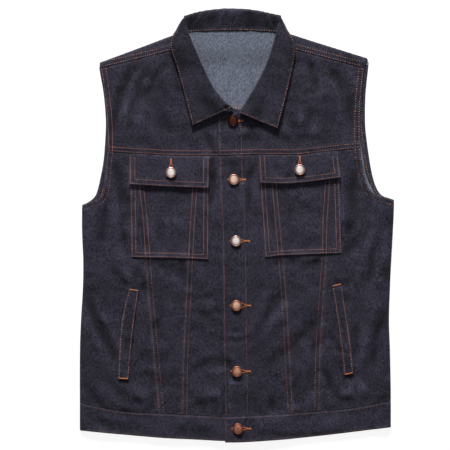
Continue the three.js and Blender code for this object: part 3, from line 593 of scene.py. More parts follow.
def bars(centres, halves, ups, radius):
    """Rounded bars, each from its middle, its half length as a vector, and the way up."""
    sides = np.cross(halves, ups)
    sides /= np.linalg.norm(sides, axis=1)[:, None]
    points, faces = [], []
    for share, size, sink in STITCH_RINGS:
        for turn in 2 * np.pi * np.arange(STITCH_SIDES) / STITCH_SIDES:
            around = math.cos(turn) * sides + (math.sin(turn) - sink) * ups
            points.append(centres + share * halves + radius * size * around)
    points.append(centres - halves - STITCH_END_SINKS * radius * ups)
    points.append(centres + halves - STITCH_END_SINKS * radius * ups)
    last_ring = 2 * STITCH_SIDES
    first_tip = 3 * STITCH_SIDES
    for k in range(STITCH_SIDES):
        after = (k + 1) % STITCH_SIDES
        for ring in (0, STITCH_SIDES):
            a, b = ring + k, ring + after
            faces.append((a, b, b + STITCH_SIDES, a + STITCH_SIDES))
        faces.append((after, k, first_tip))
        faces.append((last_ring + k, last_ring + after, first_tip + 1))
    size = len(points)
    joined = np.stack(points, axis=1).reshape(-1, 3)
    return joined, [tuple(i + size * n for i in face) for n in range(len(centres)) for face in faces]


def row_on(place, line, lift=0.0):
    """One row of stitches along a line of pattern points, on the face that place gives."""
    line = np.asarray(line, float)
    run = run_along(line)
    middles = np.arange(STITCH_PITCH / 2, run[-1] - STITCH_LENGTH / 2, STITCH_PITCH)
    start, end = (at_run(line, run, middles + sense * STITCH_LENGTH / 2).T for sense in (-1, 1))
    starts, ends = placed(place, *start, lift), placed(place, *end, lift)
    ups = placed(place, *end, lift + 1.0) - ends
    ups /= np.linalg.norm(ups, axis=1)[:, None]
    halves = (ends - starts) / 2
    length = np.linalg.norm(halves, axis=1)[:, None]
    return (starts + ends) / 2 + STITCH_RISE * ups, halves * np.clip(length, *STITCH_HALVES) / length, ups


def sew_bars(name, rows, radius, thread, lowest=None):
    """All the bars of some rows, as one piece of thread, and how many there are."""
    centres, halves, ups = (np.concatenate(part) for part in zip(*rows))
    points, faces = bars(centres, halves, ups, radius)
    if lowest is not None:
        points[:, 2] = np.maximum(points[:, 2], lowest)
    piece = make_mesh(name, points, faces, (thread,), sharp=80)
    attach(piece, "root")
    return piece, len(centres)


def sew(name, rows, dull=0.0):
    """Rows of stitches. Each stitch has its own shade, and dull ones are darker."""
    piece, count = sew_bars(name, rows, STITCH_RADIUS, THREAD, lowest=-PRESSED)
    shades = dull + np.random.default_rng(len(name)).uniform(*STITCH_SHADES, count)
    mark(piece, "dull", np.repeat(shades, len(piece.data.vertices) // count))


def moved(line, by):
    """A line of points moved sideways, to the left of its own direction."""
    tangent = np.gradient(line, axis=0)
    normal = np.stack([-tangent[:, 1], tangent[:, 0]], axis=1)
    return line + by * normal / np.linalg.norm(normal, axis=1)[:, None]


# Fronts
# Each front is three panels joined by two slanted felled seams, and lies loosely on the back.
# The side panel turns under at the side fold. The cloth is soft: its creases are listed.

AIR = 3.0  # between back and front where there is no crease
LEAST_AIR = 0.5
LAY_GAP = 0.35  # between a piece and what lies on it
FOLD_REACH = 6  # the bend at a fold, seen from above
FOLD_RUN = 15  # the same bend, measured along the cloth
UNDER_EDGE = 20  # x of the right front's edge, hidden under the left front
LAP_END = 55  # where the left front has come down from the lap
NECK_AIR = 1.1
# where the fronts rise for the neck: x and y over which they come up, and x over which they go down
NECK_AIR_RISES = (-170, -110)
NECK_AIR_FALLS = (95, 155)
NECK_AIR_STARTS = (190, 280)
NECK_LIFT = 2.65  # the back yoke lies on the collar's fall
NECK_LIFT_RISES = (-150, -105)
NECK_LIFT_FALLS = (90, 135)
NECK_LIFT_STARTS = (258, 294)
FELL_HALF = 4.4  # half the width of a felled seam
FELL_RISE = 0.55
FELL_STEP = 0.6  # half the run of a turned edge's step
FACING = 37.5  # width of the front edge's own facing
FACING_RISE = 0.5
ROW_HALF = 3.3  # each row's distance from the middle of a felled seam
EDGE_ROW = 2.0  # first row from an edge
SECOND_ROW = 8.9
UNDERARM = 100  # below this height an armhole turns towards the side seam
POCKET_HIDES = -52  # above this height the pocket hides the panels' seams
PLACKET_ROWS = ((EDGE_ROW, -313, 178), (FACING, -311, 186))  # from the edge, from y, to y
# width and height of each panel's flat pattern
CENTRE_FLAT = {"left": (122, 432), "right": (110, 431)}
MIDDLE_FLAT = {"left": (91, 432), "right": (90, 430)}
SIDE_FLAT = {"left": (155, 433), "right": (162, 431)}

# y: x of the seam nearer the front edge, x of the other one
PANEL_SEAMS = {
    "left": {
        -306: (87.9, 131), -210: (82.4, 133.2), -130: (78, 137.9), -51: (71.5, 143.3),
        10: (66.4, 145.1), 60: (61.9, 148.3), 120: (60, 151),
    },
    "right": {
        -306: (-86, -124.2), -210: (-84, -133.1), -130: (-79.7, -140.3), -51: (-76.3, -146.7),
        10: (-72.8, -151), 60: (-69.7, -156.3), 120: (-68, -158.5),
    },
}
# x: y of the seam between the fronts and the front yokes
YOKE_SEAM = {
    -212: 121, -160: 117.6, -100: 114.6, -30: 114.6, 38: 116.3, 104: 116.6, 150: 121.7, 203: 126.8,
}
# y: x of the left front's free edge
FRONT_EDGE = {-360: -18.8, -310: -20, -156: -22.4, -24: -24, 42: -26.6, 124: -29.9, 185: -30.7}
# Points from the shoulder down to the underarm
FRONT_ARMHOLE = {
    "left": [
        (210.6, 266), (206.9, 231.5), (203.5, 190), (203.2, 149), (204.2, 118),
        (209.6, 86.3), (215, 66), (220.3, 56.8), (226, 52.4), (232, 50), (241, 47.4), (250, 44.9),
        (256, 42.9), (262, 40.8), (280, 33),
    ],
    "right": [
        (-225.4, 266), (-219.8, 223.2), (-215.4, 184), (-213.2, 134), (-215.7, 99.5),
        (-218.6, 68), (-220.8, 54), (-225.4, 46), (-234, 41), (-246.5, 36.6), (-254, 33.6),
        (-262, 30.5), (-280, 24),
    ],
}
# Large creases: from x, y to x, y, then width and height. A trough's height is below zero.
CREASES = [
    (-119, 281, -206, 141, 22, 2.0),
    (-150, 262, -200, 180, 18, -1.2),
    (-110, 240, -178, 130, 18, 2),
    (-58, 172, -34, 130, 18, -2),
    (101, 256, 121, 180, 18, 2.4),
    (180, 268, 180, 140, 20, -1.8),
    (140, 225, 150, 165, 18, 2.2),
    (-250, -100, -206, -200, 20, -2),
    (-238, -150, -240, -270, 16, 2.4),
    (-204, -50, -178, -98, 17, 2.2),
    (-212, -258, -140, -296, 18, 2.4),
    (-60, -176, -28, -230, 20, -2),
    (20, -205, 214, -10, 28, 1.6),
    (60, -140, 150, -78, 20, -1.2),
    (200, 40, 190, -100, 18, -1.8),
    (224, -120, 230, -240, 18, 2.8),
    (140, -236, 166, -292, 17, -2),
    (100, -200, 110, -280, 18, 2.2),
]
# Folds: the points each runs through, then width and depth. A ridge has a depth below zero. Each fold also
# paints the cloth's colour: painted shade in its trough, paler dye on its ridge.
FOLDS = [
    ([(-207, 138), (-198, 190), (-190, 223), (-176, 253), (-154, 274)], 7, 1.4),
    ([(-182, 138), (-174, 190), (-157, 240), (-132, 277)], 8, 0.8),
    ([(-154, 201), (-135, 246), (-112, 272)], 5, 0.7),
    ([(-102, 267), (-99, 234), (-90, 207)], 6, 0.7),
    ([(-130, 193), (-119, 168), (-102, 149)], 12, 0.9),
    ([(-59, 160), (-44, 138), (-33, 110)], 6, 1.3),
    ([(118, 281), (124, 248), (132, 220)], 6, 1.0),
    ([(143, 270), (170, 242), (185, 204), (190, 152)], 8, 1.3),
    ([(82, 190), (97, 160), (107, 130)], 6, 0.8),
    ([(112, 135), (115, 163), (124, 196)], 6, 0.8),
    ([(107, 228), (124, 220), (143, 228)], 6, 0.4),
    ([(-202, 113), (-193, 75), (-185, 20)], 9, 1.5),
    ([(173, -35), (192, 14), (190, 64), (194, 110)], 9, 1.6),
    ([(159, -63), (198, -22), (231, 20)], 8, 0.8),
    ([(-44, 20), (-40, 64), (-39, 128)], 5, 1.4),
    ([(19, 14), (19, 64), (30, 110)], 5, 1.3),
    ([(-33, 109), (-3, 101), (27, 109)], 8, 0.5),
    ([(-176, -60), (-124, -68), (-58, -68)], 8, 0.45),
    ([(19, -68), (63, -60), (118, -60), (167, -49)], 8, 0.35),
    ([(-121, -115), (-69, -119), (-17, -112)], 7, 0.5),
    ([(-202, -68), (-193, -88), (-176, -104)], 6, 0.8),
    ([(-168, -60), (-162, -85), (-154, -115)], 6, 0.9),
    ([(-251, -106), (-234, -154), (-209, -200), (-193, -239)], 7, 2.2),
    ([(-233, -233), (-190, -272), (-138, -305)], 8, 0.7),
    ([(-251, -266), (-220, -300), (-152, -317)], 7, 0.8),
    ([(-138, -178), (-125, -151), (-130, -121)], 6, 0.8),
    ([(-143, -308), (-135, -269)], 5, 0.9),
    ([(-86, -245), (-50, -225), (-20, -225), (-2, -236)], 8, 0.8),
    ([(-77, -286), (-47, -297), (-22, -297)], 9, 0.5),
    ([(23, -201), (45, -157), (63, -124), (88, -100)], 8, 1.0),
    ([(40, -239), (85, -201), (118, -168), (137, -132)], 9, 0.8),
    ([(57, -170), (85, -154)], 7, 0.4),
    ([(74, -86), (118, -66), (152, -36)], 9, 0.4),
    ([(155, -91), (173, -96), (192, -86)], 5, 0.8),
    ([(127, -225), (130, -178), (130, -140)], 6, 0.9),
    ([(154, -178), (165, -198), (176, -214)], 5, 0.9),
    ([(194, -225), (196, -184), (195, -151)], 6, 1.0),
    ([(242, -63), (247, -82), (253, -101)], 6, 1.3),
    ([(212, -261), (231, -178), (246, -121)], 8, 1.3),
    ([(144, -228), (155, -266), (176, -300)], 6, 1.2),
    ([(210, -311), (231, -297), (249, -276)], 6, 0.7),
    ([(19, -277), (41, -288), (66, -288)], 9, 0.45),
    ([(-9, 141), (19, 149), (46, 141)], 9, 0.5),
    ([(41, 64), (57, 20), (63, -35)], 5, 0.6),
    ([(-165, 20), (-154, -13), (-149, -46)], 6, 0.6),
    ([(85, 42), (88, -2)], 6, 0.4),
    ([(-229, 42), (-218, -2), (-226, -46)], 9, 0.6),
    ([(-58, -156), (-36, -140), (-20, -143)], 8, 0.45),
    ([(-102, -184), (-80, -170), (-61, -173)], 8, 0.4),
    ([(-170, -46), (-130, -48), (-60, -46)], 7, -0.4),
    ([(45, -44), (110, -42), (168, -34)], 7, -0.4),
    ([(-222, -240), (-180, -268), (-132, -300)], 8, -0.3),
    ([(-196, -262), (-168, -285)], 7, -0.3),
    ([(176, -262), (198, -268), (214, -258)], 12, -1.0),
    ([(-30, -196), (20, -190), (60, -150), (110, -92)], 10, -0.4),
    ([(-190, 20), (-185, -24), (-172, -63)], 7, 0.9),
    ([(-102, -68), (-80, -85), (-77, -107)], 8, 0.9),
    ([(-168, -206), (-130, -217), (-97, -206)], 9, 0.5),
    ([(-188, 236), (-150, 220), (-104, 230)], 20, 0.7),
    ([(24, 204), (48, 158)], 16, 0.7),
    # Its dark trough is mostly a painted shade beneath the collar's front.
    ([(-22, 184), (3, 178), (26, 184)], 11, 1.0),
    ([(-26, 92), (4, 86), (30, 90)], 11, 0.8),
    ([(208, 78), (214, 32), (204, -8)], 9, 0.9),
    ([(-229, 76), (-226, 34)], 8, 0.9),
    ([(-182, 54), (-180, -2)], 8, 0.7),
    ([(98, 74), (118, 38)], 16, -0.5),
    ([(88, 186), (120, 164), (146, 148)], 14, -0.6),
    ([(98, -52), (146, -50)], 8, -0.7),
    ([(-158, -72), (-150, -106), (-124, -120)], 13, 0.6),
    ([(70, -94), (98, -104), (96, -126)], 13, 0.5),
    ([(4, -178), (12, -202)], 12, 0.4),
    ([(108, -186), (152, -194)], 12, 0.7),
    ([(84, -214), (112, -208)], 11, 0.5),
    ([(-186, -178), (-178, -216)], 11, 0.5),
    ([(-162, -234), (-130, -256)], 12, 0.5),
    ([(-92, -250), (-86, -292)], 11, 0.6),
    ([(-250, -284), (-226, -312)], 11, 0.6),
    ([(-68, -304), (-42, -314), (-14, -316)], 10, 0.6),
    ([(30, -304), (72, -304)], 9, 0.5),
    # Its dark trough is a painted shadow of the collar's leaves at the bottom of the V.
    ([(-26, 194), (4, 192)], 4, 2.0),
    ([(-118, -336), (-70, -339), (-24, -340)], 8, 0.9),
    ([(-228, -317), (-186, -322), (-144, -326)], 8, -0.6),
    ([(30, -322), (130, -324), (225, -314)], 8, -0.4),
    ([(10, -341), (100, -346), (200, -338)], 4, 0.8),
    ([(-16, -258), (26, -262)], 13, -0.8),
    ([(104, -284), (136, -280)], 13, -0.7),
    ([(-157, -255), (-124, -261), (-91, -250)], 9, 0.4),
    ([(236, -13), (220, -68), (206, -112)], 7, 1.0),
    ([(8, -288), (46, -305), (74, -283)], 10, 0.5),
    ([(-251, -310), (-207, -326), (-152, -331)], 8, 1.2),
    ([(-21, -233), (-20, -288), (-18, -338)], 4, 1.0),
    ([(-17, -170), (0, -173), (16, -169)], 4, 0.4),
    ([(-17, -187), (0, -190), (16, -185)], 4, 0.35),
    ([(93, 130), (68, 152), (57, 157)], 6, 0.7),
    ([(57, 102), (74, 86), (93, 75)], 6, 0.7),
    ([(90, 113), (85, 97), (90, 75)], 5, 0.6),
    ([(-229, 86), (-215, 42), (-223, -2), (-234, -46)], 8, 0.8),
    ([(-69, -266), (-36, -275), (-25, -269)], 10, -0.9),
    ([(41, -313), (85, -302), (129, -297)], 9, -0.5),
    ([(-31, -211), (-9, -233), (-3, -261)], 6, 0.6),
    ([(-130, 20), (-127, -13), (-123, -41)], 6, 0.5),
    ([(200, -283), (173, -288), (151, -310)], 6, 0.5),
    ([(85, -222), (96, -255), (90, -288)], 7, 0.7),
    ([(-75, -123), (-47, -156), (-25, -162)], 7, 0.4),
]
CREASE_FADE = 0.25  # share of a crease's length over which each end fades
FOLD_FADE = 0.3
FOLD_DEPTH = 1.7
FOLD_SHOULDERS = 0.35  # the cloth stands up on both sides of a fold by this share of its depth
SHOULDERS_AT = 2.1  # from the middle of a fold, in widths
FOLD_SHIFT = (0.22, -0.55)  # from the dark wall of a fold to its middle, in widths
SOFT_REST = 0.6  # how gently a trough comes to rest on the back
LOWER_SHADE = 0.35  # how much darker the colour is made below the pockets
LOWER_RISES = (-330, -300)
LOWER_FALLS = (-90, -40)
TONES = (-2.2, 1.3)  # darkest painted shade and palest faded dye that the folds give the colour
FIELD_X = np.arange(-270.0, 271.0)
FIELD_Y = np.arange(-366.0, 351.0)

yoke_seam = curve(YOKE_SEAM)
front_edge = curve(FRONT_EDGE)
panel_seam = {side: [curve(PANEL_SEAMS[side], k) for k in (0, 1)] for side in SIDES}


def crease_height(creases, x, y):
    """The height of some straight creases, whose ends fade out."""
    total = 0
    for x0, y0, x1, y1, width, height in creases:
        dx, dy = x1 - x0, y1 - y0
        share = ((x - x0) * dx + (y - y0) * dy) / (dx * dx + dy * dy)
        near = np.clip(share, 0, 1)
        off = np.hypot(x - x0 - near * dx, y - y0 - near * dy)
        fade = between((-CREASE_FADE, CREASE_FADE), (1 - CREASE_FADE, 1 + CREASE_FADE), share)
        total = total + height * fade * np.exp(-((off / width) ** 2))
    return total


def fold_height(fold, x, y, shift):
    """A fold's height along a bent line, with ends that fade out."""
    points, width, depth = fold
    points = np.array(points, float) + np.array(FOLD_SHIFT) * width * shift
    starts = run_along(points)
    nearest, share = np.full(np.broadcast(x, y).shape, 1e6), 0.0
    for (x0, y0), (dx, dy), start, end in zip(points, np.diff(points, axis=0), starts, starts[1:]):
        length = end - start
        t = np.clip(((x - x0) * dx + (y - y0) * dy) / length ** 2, 0, 1)
        off = np.hypot(x - x0 - t * dx, y - y0 - t * dy)
        share = np.where(off < nearest, (start + t * length) / starts[-1], share)
        nearest = np.minimum(off, nearest)
    fade = between((0, FOLD_FADE), (1 - FOLD_FADE, 1), share)
    shoulders = FOLD_SHOULDERS * np.exp(-(((nearest - SHOULDERS_AT * width) / width) ** 2))
    return -depth * FOLD_DEPTH * fade * (np.exp(-((nearest / width) ** 2)) - shoulders)


def back_lift(x, y):
    """How far the collar's fall lifts the back."""
    return NECK_LIFT * between(NECK_LIFT_RISES, NECK_LIFT_FALLS, x) * smooth(*NECK_LIFT_STARTS, y)


def fold_field(shift):
    """The height of all the folds on a grid of one millimetre, uneven along each."""
    x, y = np.meshgrid(FIELD_X, FIELD_Y)
    uneven = 0.8 + 0.3 * waves(x, y, size=26, seed=17)
    return sum(fold_height(fold, x, y, shift) for fold in FOLDS) * uneven


def loose_field():
    """How high the fronts lie over their rest, on the same grid."""
    x, y = np.meshgrid(FIELD_X, FIELD_Y)
    ripple = 0.5 * waves(x, y, size=62, seed=11) + 0.2 * waves(x, y, size=24, seed=12)
    return crease_height(CREASES, x, y) + fold_field(1.0) + ripple


def shade_and_fade_field():
    """How dark or pale the colour is painted: painted shade in the folds' troughs, faded dye on their
    ridges, and darker below the pockets.
    """
    lower = between(LOWER_RISES, LOWER_FALLS, FIELD_Y)[:, None]
    return np.clip(fold_field(0.0), *TONES) - LOWER_SHADE * lower


def on_grid(field):
    """Reads a grid's values between its points."""
    def at(x, y):
        column = np.clip(x - FIELD_X[0], 0, len(FIELD_X) - 1.001)
        row = np.clip(y - FIELD_Y[0], 0, len(FIELD_Y) - 1.001)
        i, j = np.floor(column).astype(int), np.floor(row).astype(int)
        s, t = column - i, row - j
        lower = field[j, i] * (1 - s) + field[j, i + 1] * s
        upper = field[j + 1, i] * (1 - s) + field[j + 1, i + 1] * s
        return lower * (1 - t) + upper * t
    return at


loose_cloth = on_grid(loose_field())
fold_shade_and_fade = on_grid(shade_and_fade_field())


def front_top(x, y):
    """The face of a single layer of the front."""
    neck = NECK_AIR * smooth(*NECK_AIR_STARTS, y) * between(NECK_AIR_RISES, NECK_AIR_FALLS, x)
    room = AIR + neck + loose_cloth(x, y) - LEAST_AIR
    return CLOTH + back_lift(x, y) + LEAST_AIR + (room + np.hypot(room, SOFT_REST)) / 2 + CLOTH


def lap_rise(x, thickness=CLOTH):
    """The left front is lifted where the right front lies under it."""
    return (thickness + LAY_GAP) * (1 - smooth(UNDER_EDGE + 2, LAP_END, x))


def fell_rise(side, x, y):
    """Where a slanted felled seam stands up, with its steep step on the side of the armhole."""
    below_yoke = 1 - smooth(-2, 2, y - yoke_seam(x))
    gentle = (-FELL_HALF - 2.6, -FELL_HALF + FELL_STEP)
    steep = (FELL_HALF - FELL_STEP, FELL_HALF + FELL_STEP)
    rise = sum(between(gentle, steep, SIGN[side] * (x - seam(y))) for seam in panel_seam[side])
    return FELL_RISE * rise * below_yoke


def yoke_rise(x, y):
    """The front yoke's turned edge lies on the panels."""
    return FELL_RISE * between((-FELL_STEP, FELL_STEP), (8.6, 12), y - yoke_seam(x))


def facing_rise(x, y):
    """The left front is thicker as far as its facing reaches under it."""
    return FACING_RISE * (1 - smooth(FACING - 1.5, FACING + 2, x - front_edge(y)))


def outer_face(side, x, y):
    face = front_top(x, y) + fell_rise(side, x, y) + yoke_rise(x, y)
    if side == "left":
        face = face + lap_rise(x) + facing_rise(x, y)
    return face


def on_front(side):
    return lambda x, y, over: (x, y, outer_face(side, x, y) + over)


def round_the_side(side):
    """Pattern points of a side panel: past the side fold they turn under and lie on the surface."""
    sign = SIGN[side]

    def place(u, y, over):
        centre = sign * side_fold[side](y) - FOLD_REACH
        out = sign * u
        height = outer_face(side, sign * centre, y)
        turn = np.pi * (0.5 - np.clip((out - centre) / FOLD_RUN, 0, 1))
        bent_x = centre + (FOLD_REACH + over) * np.cos(turn)
        bent_z = height / 2 + (height / 2 + over) * np.sin(turn)
        before = out < centre
        after = out > centre + FOLD_RUN
        x = np.where(before, out, np.where(after, 2 * centre + FOLD_RUN - out, bent_x))
        z = np.where(before, outer_face(side, sign * out, y) + over, np.where(after, -over, bent_z))
        return sign * x, y, z

    return place


def panel_outline(a, b, lower, upper, step=STEP):
    """Between two upright curves x(y) and two level curves y(x)."""
    corners = [meets(line, level) for line, level in ((a, lower), (b, lower), (b, upper), (a, upper))]
    return outline_of(
        across(lower, corners[0][0], corners[1][0], step),
        upright(b, corners[1][1], corners[2][1], step),
        across(upper, corners[2][0], corners[3][0], step),
        upright(a, corners[3][1], corners[0][1], step),
    )


def front_free_edge(side):
    """x of a front's free edge: the right one ends straight, under the left."""
    return front_edge if side == "left" else level(UNDER_EDGE)


def side_outline(side):
    """A side panel in its pattern, with what lies underneath unfolded outward, and the line of
    its armhole. Here x counts outward on both sides."""
    sign = SIGN[side]

    def centre(y):
        return sign * side_fold[side](y) - FOLD_REACH

    def unfold(x, y):
        return 2 * centre(y) + FOLD_RUN - x

    def inner(y):
        return sign * panel_seam[side][1](y) + FELL_HALF + SEAM_GAP

    def reach(y):
        return unfold(sign * side_seam(side)(y), y)

    def over_the_waist(u):
        """x, once folded, of a pattern point on the waistband's seam."""
        y = -300.0
        return np.where(u > centre(y) + FOLD_RUN, unfold(u, y), np.minimum(u, centre(y) + FOLD_REACH))

    corner = meets(lambda y: sign * inner(y), waist_seam)
    u = np.linspace(sign * corner[0], float(reach(-300)), 90)
    bottom = np.stack([u, waist_seam(sign * over_the_waist(u)) + SEAM_GAP], axis=1)
    arm = along(FRONT_ARMHOLE[side], STEP) * (sign, 1)
    front = arm[(arm[:, 0] < centre(arm[:, 1])) & (arm[:, 1] < yoke_seam(sign * arm[:, 0]))]
    back = along(BACK_ARMHOLE[side], STEP) * (sign, 1)
    beneath = (back[:, 1] < UNDERARM) & (back[:, 0] > sign * side_seam(side)(back[:, 1]))
    back = back[(back[:, 0] < centre(back[:, 1])) & beneath]
    under = np.stack([unfold(back[:, 0], back[:, 1]), back[:, 1]], axis=1)
    seam_line = upright(reach, bottom[-1, 1], under[0, 1], STEP)
    fold_y = arm[arm[:, 0] > centre(arm[:, 1]) + FOLD_REACH][0, 1]
    at_fold = np.array([centre(fold_y) + FOLD_RUN / 2, fold_y])
    bend = even([under[-1], at_fold, front[-1]], STEP)
    top_corner = meets(lambda y: sign * inner(y), yoke_seam)
    top_x = np.linspace(front[0, 0], sign * top_corner[0], LINE_POINTS)
    top = even(np.stack([top_x, yoke_seam(sign * top_x) - SEAM_GAP], axis=1), STEP)
    line = outline_of(
        even(bottom, STEP), seam_line, under, bend, front[::-1], top,
        upright(inner, top_corner[1], corner[1]),
    )
    return outline_of(line * (sign, 1)), np.concatenate([front, [at_fold]]) * (sign, 1)


for side in SIDES:
    sign = SIGN[side]
    face = on_front(side)
    nearer, further = panel_seam[side]
    step_out = sign * (FELL_HALF + SEAM_GAP)
    step_in = sign * (FELL_HALF - SEAM_GAP)
    ends = (shifted(waist_seam, SEAM_GAP), shifted(yoke_seam, -SEAM_GAP))
    centre_line = panel_outline(front_free_edge(side), shifted(nearer, step_in), *ends)
    centre_panel = cloth_piece(f"cloth_front_centre_{side}", centre_line, face, tone=fold_shade_and_fade)
    declare(centre_panel, f"front_centre_{side}", flat=CENTRE_FLAT[side])
    middle_line = panel_outline(shifted(nearer, step_out), shifted(further, step_in), *ends)
    middle_panel = cloth_piece(f"cloth_front_middle_{side}", middle_line, face, tone=fold_shade_and_fade)
    declare(middle_panel, f"front_middle_{side}", flat=MIDDLE_FLAT[side])
    side_line, arm = side_outline(side)
    side_panel = cloth_piece(
        f"cloth_front_side_{side}", side_line, round_the_side(side), tone=fold_shade_and_fade,
    )
    declare(side_panel, f"front_side_{side}", flat=SIDE_FLAT[side])

    rows = []
    for seam in panel_seam[side]:
        low_y = meets(seam, waist_seam)[1] + 1
        for shift in (-ROW_HALF, ROW_HALF):
            rows.append(row_on(face, upright(shifted(seam, shift), low_y, POCKET_HIDES)))
    arm = even(arm, STEP)
    for inset in (EDGE_ROW, SECOND_ROW):
        line = moved(arm, -sign * inset)
        rows.append(row_on(round_the_side(side), line[line[:, 1] < yoke_seam(line[:, 0]) + 2]))
    sew(f"stitches_front_{side}", rows, dull=0.28)


# Front yokes
# The upper part of each front, from the neckline and front edge to the armhole. Its lower edge is
# turned under and sewn down over the panels with two rows.

# Points from the front edge up to the shoulder
FRONT_NECK = {
    "left": [
        (-30.7, 180.3), (-14, 181.2), (0, 187), (24, 208), (45, 232), (63, 262), (73, 290), (73, 325),
    ],
    "right": [
        (20, 189), (0, 191), (-12, 196), (-24, 203), (-42, 216), (-62, 239), (-79, 266), (-85, 290),
        (-84, 325),
    ],
}
# x: y of the shoulder's fold, y of the front shoulder seam
SHOULDER = {
    -228: (267.5, 257.6), -117: (308.7, 284.8), -84: (320.6, 292.8), -50: (333, 300),
    35: (333, 303), 70: (320.6, 295.3), 94: (313, 289), 154: (294.4, 273.6), 218: (274.4, 257),
}
YOKE_FLAT = {"left": (240, 180), "right": (244, 178)}
YOKE_ROWS = (1.9, 8.1)
YOKE_ROW_ENDS = {"left": (-28, 201.5), "right": (-31, -214)}
YOKE_SHADE = -0.25  # painted shade: the yokes are painted darker than the panels
shoulder_fold = curve(SHOULDER, 0)
shoulder_seam = curve(SHOULDER, 1)


def yoke_shade(x, y):
    return fold_shade_and_fade(x, y) + YOKE_SHADE


def yoke_outline(side):
    neck = along(FRONT_NECK[side])
    neck = neck[neck[:, 1] < shoulder_seam(neck[:, 0]) - 0.2]
    arm = along(FRONT_ARMHOLE[side])
    arm = arm[(arm[:, 1] < shoulder_seam(arm[:, 0]) - 0.2) & (arm[:, 1] > yoke_seam(arm[:, 0]) + 0.3)]
    shoulder = across(shifted(shoulder_seam, -SEAM_GAP), neck[-1, 0], arm[0, 0])
    edge = front_free_edge(side)
    corner = meets(edge, yoke_seam)
    seam = across(shifted(yoke_seam, SEAM_GAP), arm[-1, 0], corner[0])
    return outline_of(seam, upright(edge, corner[1], neck[0, 1]), neck, shoulder, arm)


for side in SIDES:
    face = on_front(side)
    yoke = cloth_piece(f"cloth_front_yoke_{side}", yoke_outline(side), face, tone=yoke_shade)
    declare(yoke, f"front_yoke_{side}", flat=YOKE_FLAT[side])
    arm = along(FRONT_ARMHOLE[side])
    arm = arm[(arm[:, 1] < shoulder_seam(arm[:, 0])) & (arm[:, 1] > yoke_seam(arm[:, 0]) - 4)]
    rows = [row_on(face, moved(arm, -SIGN[side] * inset)) for inset in (EDGE_ROW, SECOND_ROW)]
    for up in YOKE_ROWS:
        rows.append(row_on(face, across(shifted(yoke_seam, up), *YOKE_ROW_ENDS[side])))
    sew(f"stitches_front_yoke_{side}", rows)

sew("stitches_front_edge", [
    row_on(on_front("left"), upright(shifted(front_edge, inset), low, high))
    for inset, low, high in PLACKET_ROWS
], dull=0.3)


# Back yoke
# It lies under the neck, with its pale inner side up, bends over both shoulders and comes down to
# the front shoulder seams, where its turned edge is sewn over the front yokes.

BACK_NECK = {-84: 316.5, -60: 318.5, -7: 320.3, 45: 318.5, 70: 316.5}
NECK_ENDS = (-84, 73)
SHOULDER_ROWS = (2.2, 8.8)
SHOULDER_ROW_ENDS = ((-222, -100), (88, 208))
BACK_YOKE_ROWS = (3.2, 8.4)
BACK_YOKE_ROW_ENDS = (-204, 200)
YOKE_STEP = 3.0
back_neck = curve(BACK_NECK)


def over_the_shoulder(x, v, over):
    """Pattern points of the back yoke: past the shoulder fold they come down on the front."""
    centre = shoulder_fold(x) - FOLD_REACH
    base = back_lift(x, np.minimum(v, centre))
    height = front_top(x, centre) - base
    turn = np.pi * (np.clip((v - centre) / FOLD_RUN, 0, 1) - 0.5)
    bent_y = centre + (FOLD_REACH + over) * np.cos(turn)
    bent_z = base + height / 2 + (height / 2 + over) * np.sin(turn)
    front_y = 2 * centre + FOLD_RUN - v
    before, after = v < centre, v > centre + FOLD_RUN
    y = np.where(before, v, np.where(after, front_y, bent_y))
    z = np.where(before, base - over, np.where(after, front_top(x, front_y) + over, bent_z))
    return x, y, z


def unfolded(x, y):
    return 2 * (shoulder_fold(x) - FOLD_REACH) + FOLD_RUN - y


def above(line, points, other):
    """The points that lie above one line and below another."""
    return points[(points[:, 1] > line(points[:, 0])) & (points[:, 1] < other(points[:, 0]))]


def back_yoke_outline():
    below_fold = shifted(shoulder_fold, -FOLD_REACH)
    halves = []
    for side, neck_x in (("left", NECK_ENDS[1]), ("right", NECK_ENDS[0])):
        back = above(level(BACK_YOKE_SEAM), along(BACK_ARMHOLE[side], YOKE_STEP), below_fold)[::-1]
        front = above(shoulder_seam, along(FRONT_ARMHOLE[side], YOKE_STEP), below_fold)
        front = np.stack([front[:, 0], unfolded(*front.T)], axis=1)
        seam_x = np.linspace(front[-1, 0], neck_x, 60)
        seam_v = unfolded(seam_x, shoulder_seam(seam_x) + SEAM_GAP)
        seam = even(np.stack([seam_x, seam_v], axis=1), YOKE_STEP)
        inner = even([seam[-1], (neck_x, float(back_neck(neck_x)))], YOKE_STEP)
        bend = even([back[-1], front[0]], YOKE_STEP)
        halves.append(np.concatenate([back, bend, front, seam, inner]))
    left, right = halves
    neck = across(shifted(back_neck, -SEAM_GAP), NECK_ENDS[1], NECK_ENDS[0], YOKE_STEP)
    seam = across(level(BACK_YOKE_SEAM + SEAM_GAP), right[0, 0], left[0, 0], YOKE_STEP)
    return outline_of(left, neck, right[::-1], seam)


def shoulder_rise(x, v):
    """The turned edge at the front shoulder seam. The rest lies a little lower."""
    front = unfolded(x, v) - shoulder_seam(x)
    bent = v > shoulder_fold(x) - FOLD_REACH + FOLD_RUN / 2
    return np.where(bent, FELL_RISE * (1 - smooth(9, 12.5, front)), -0.12)


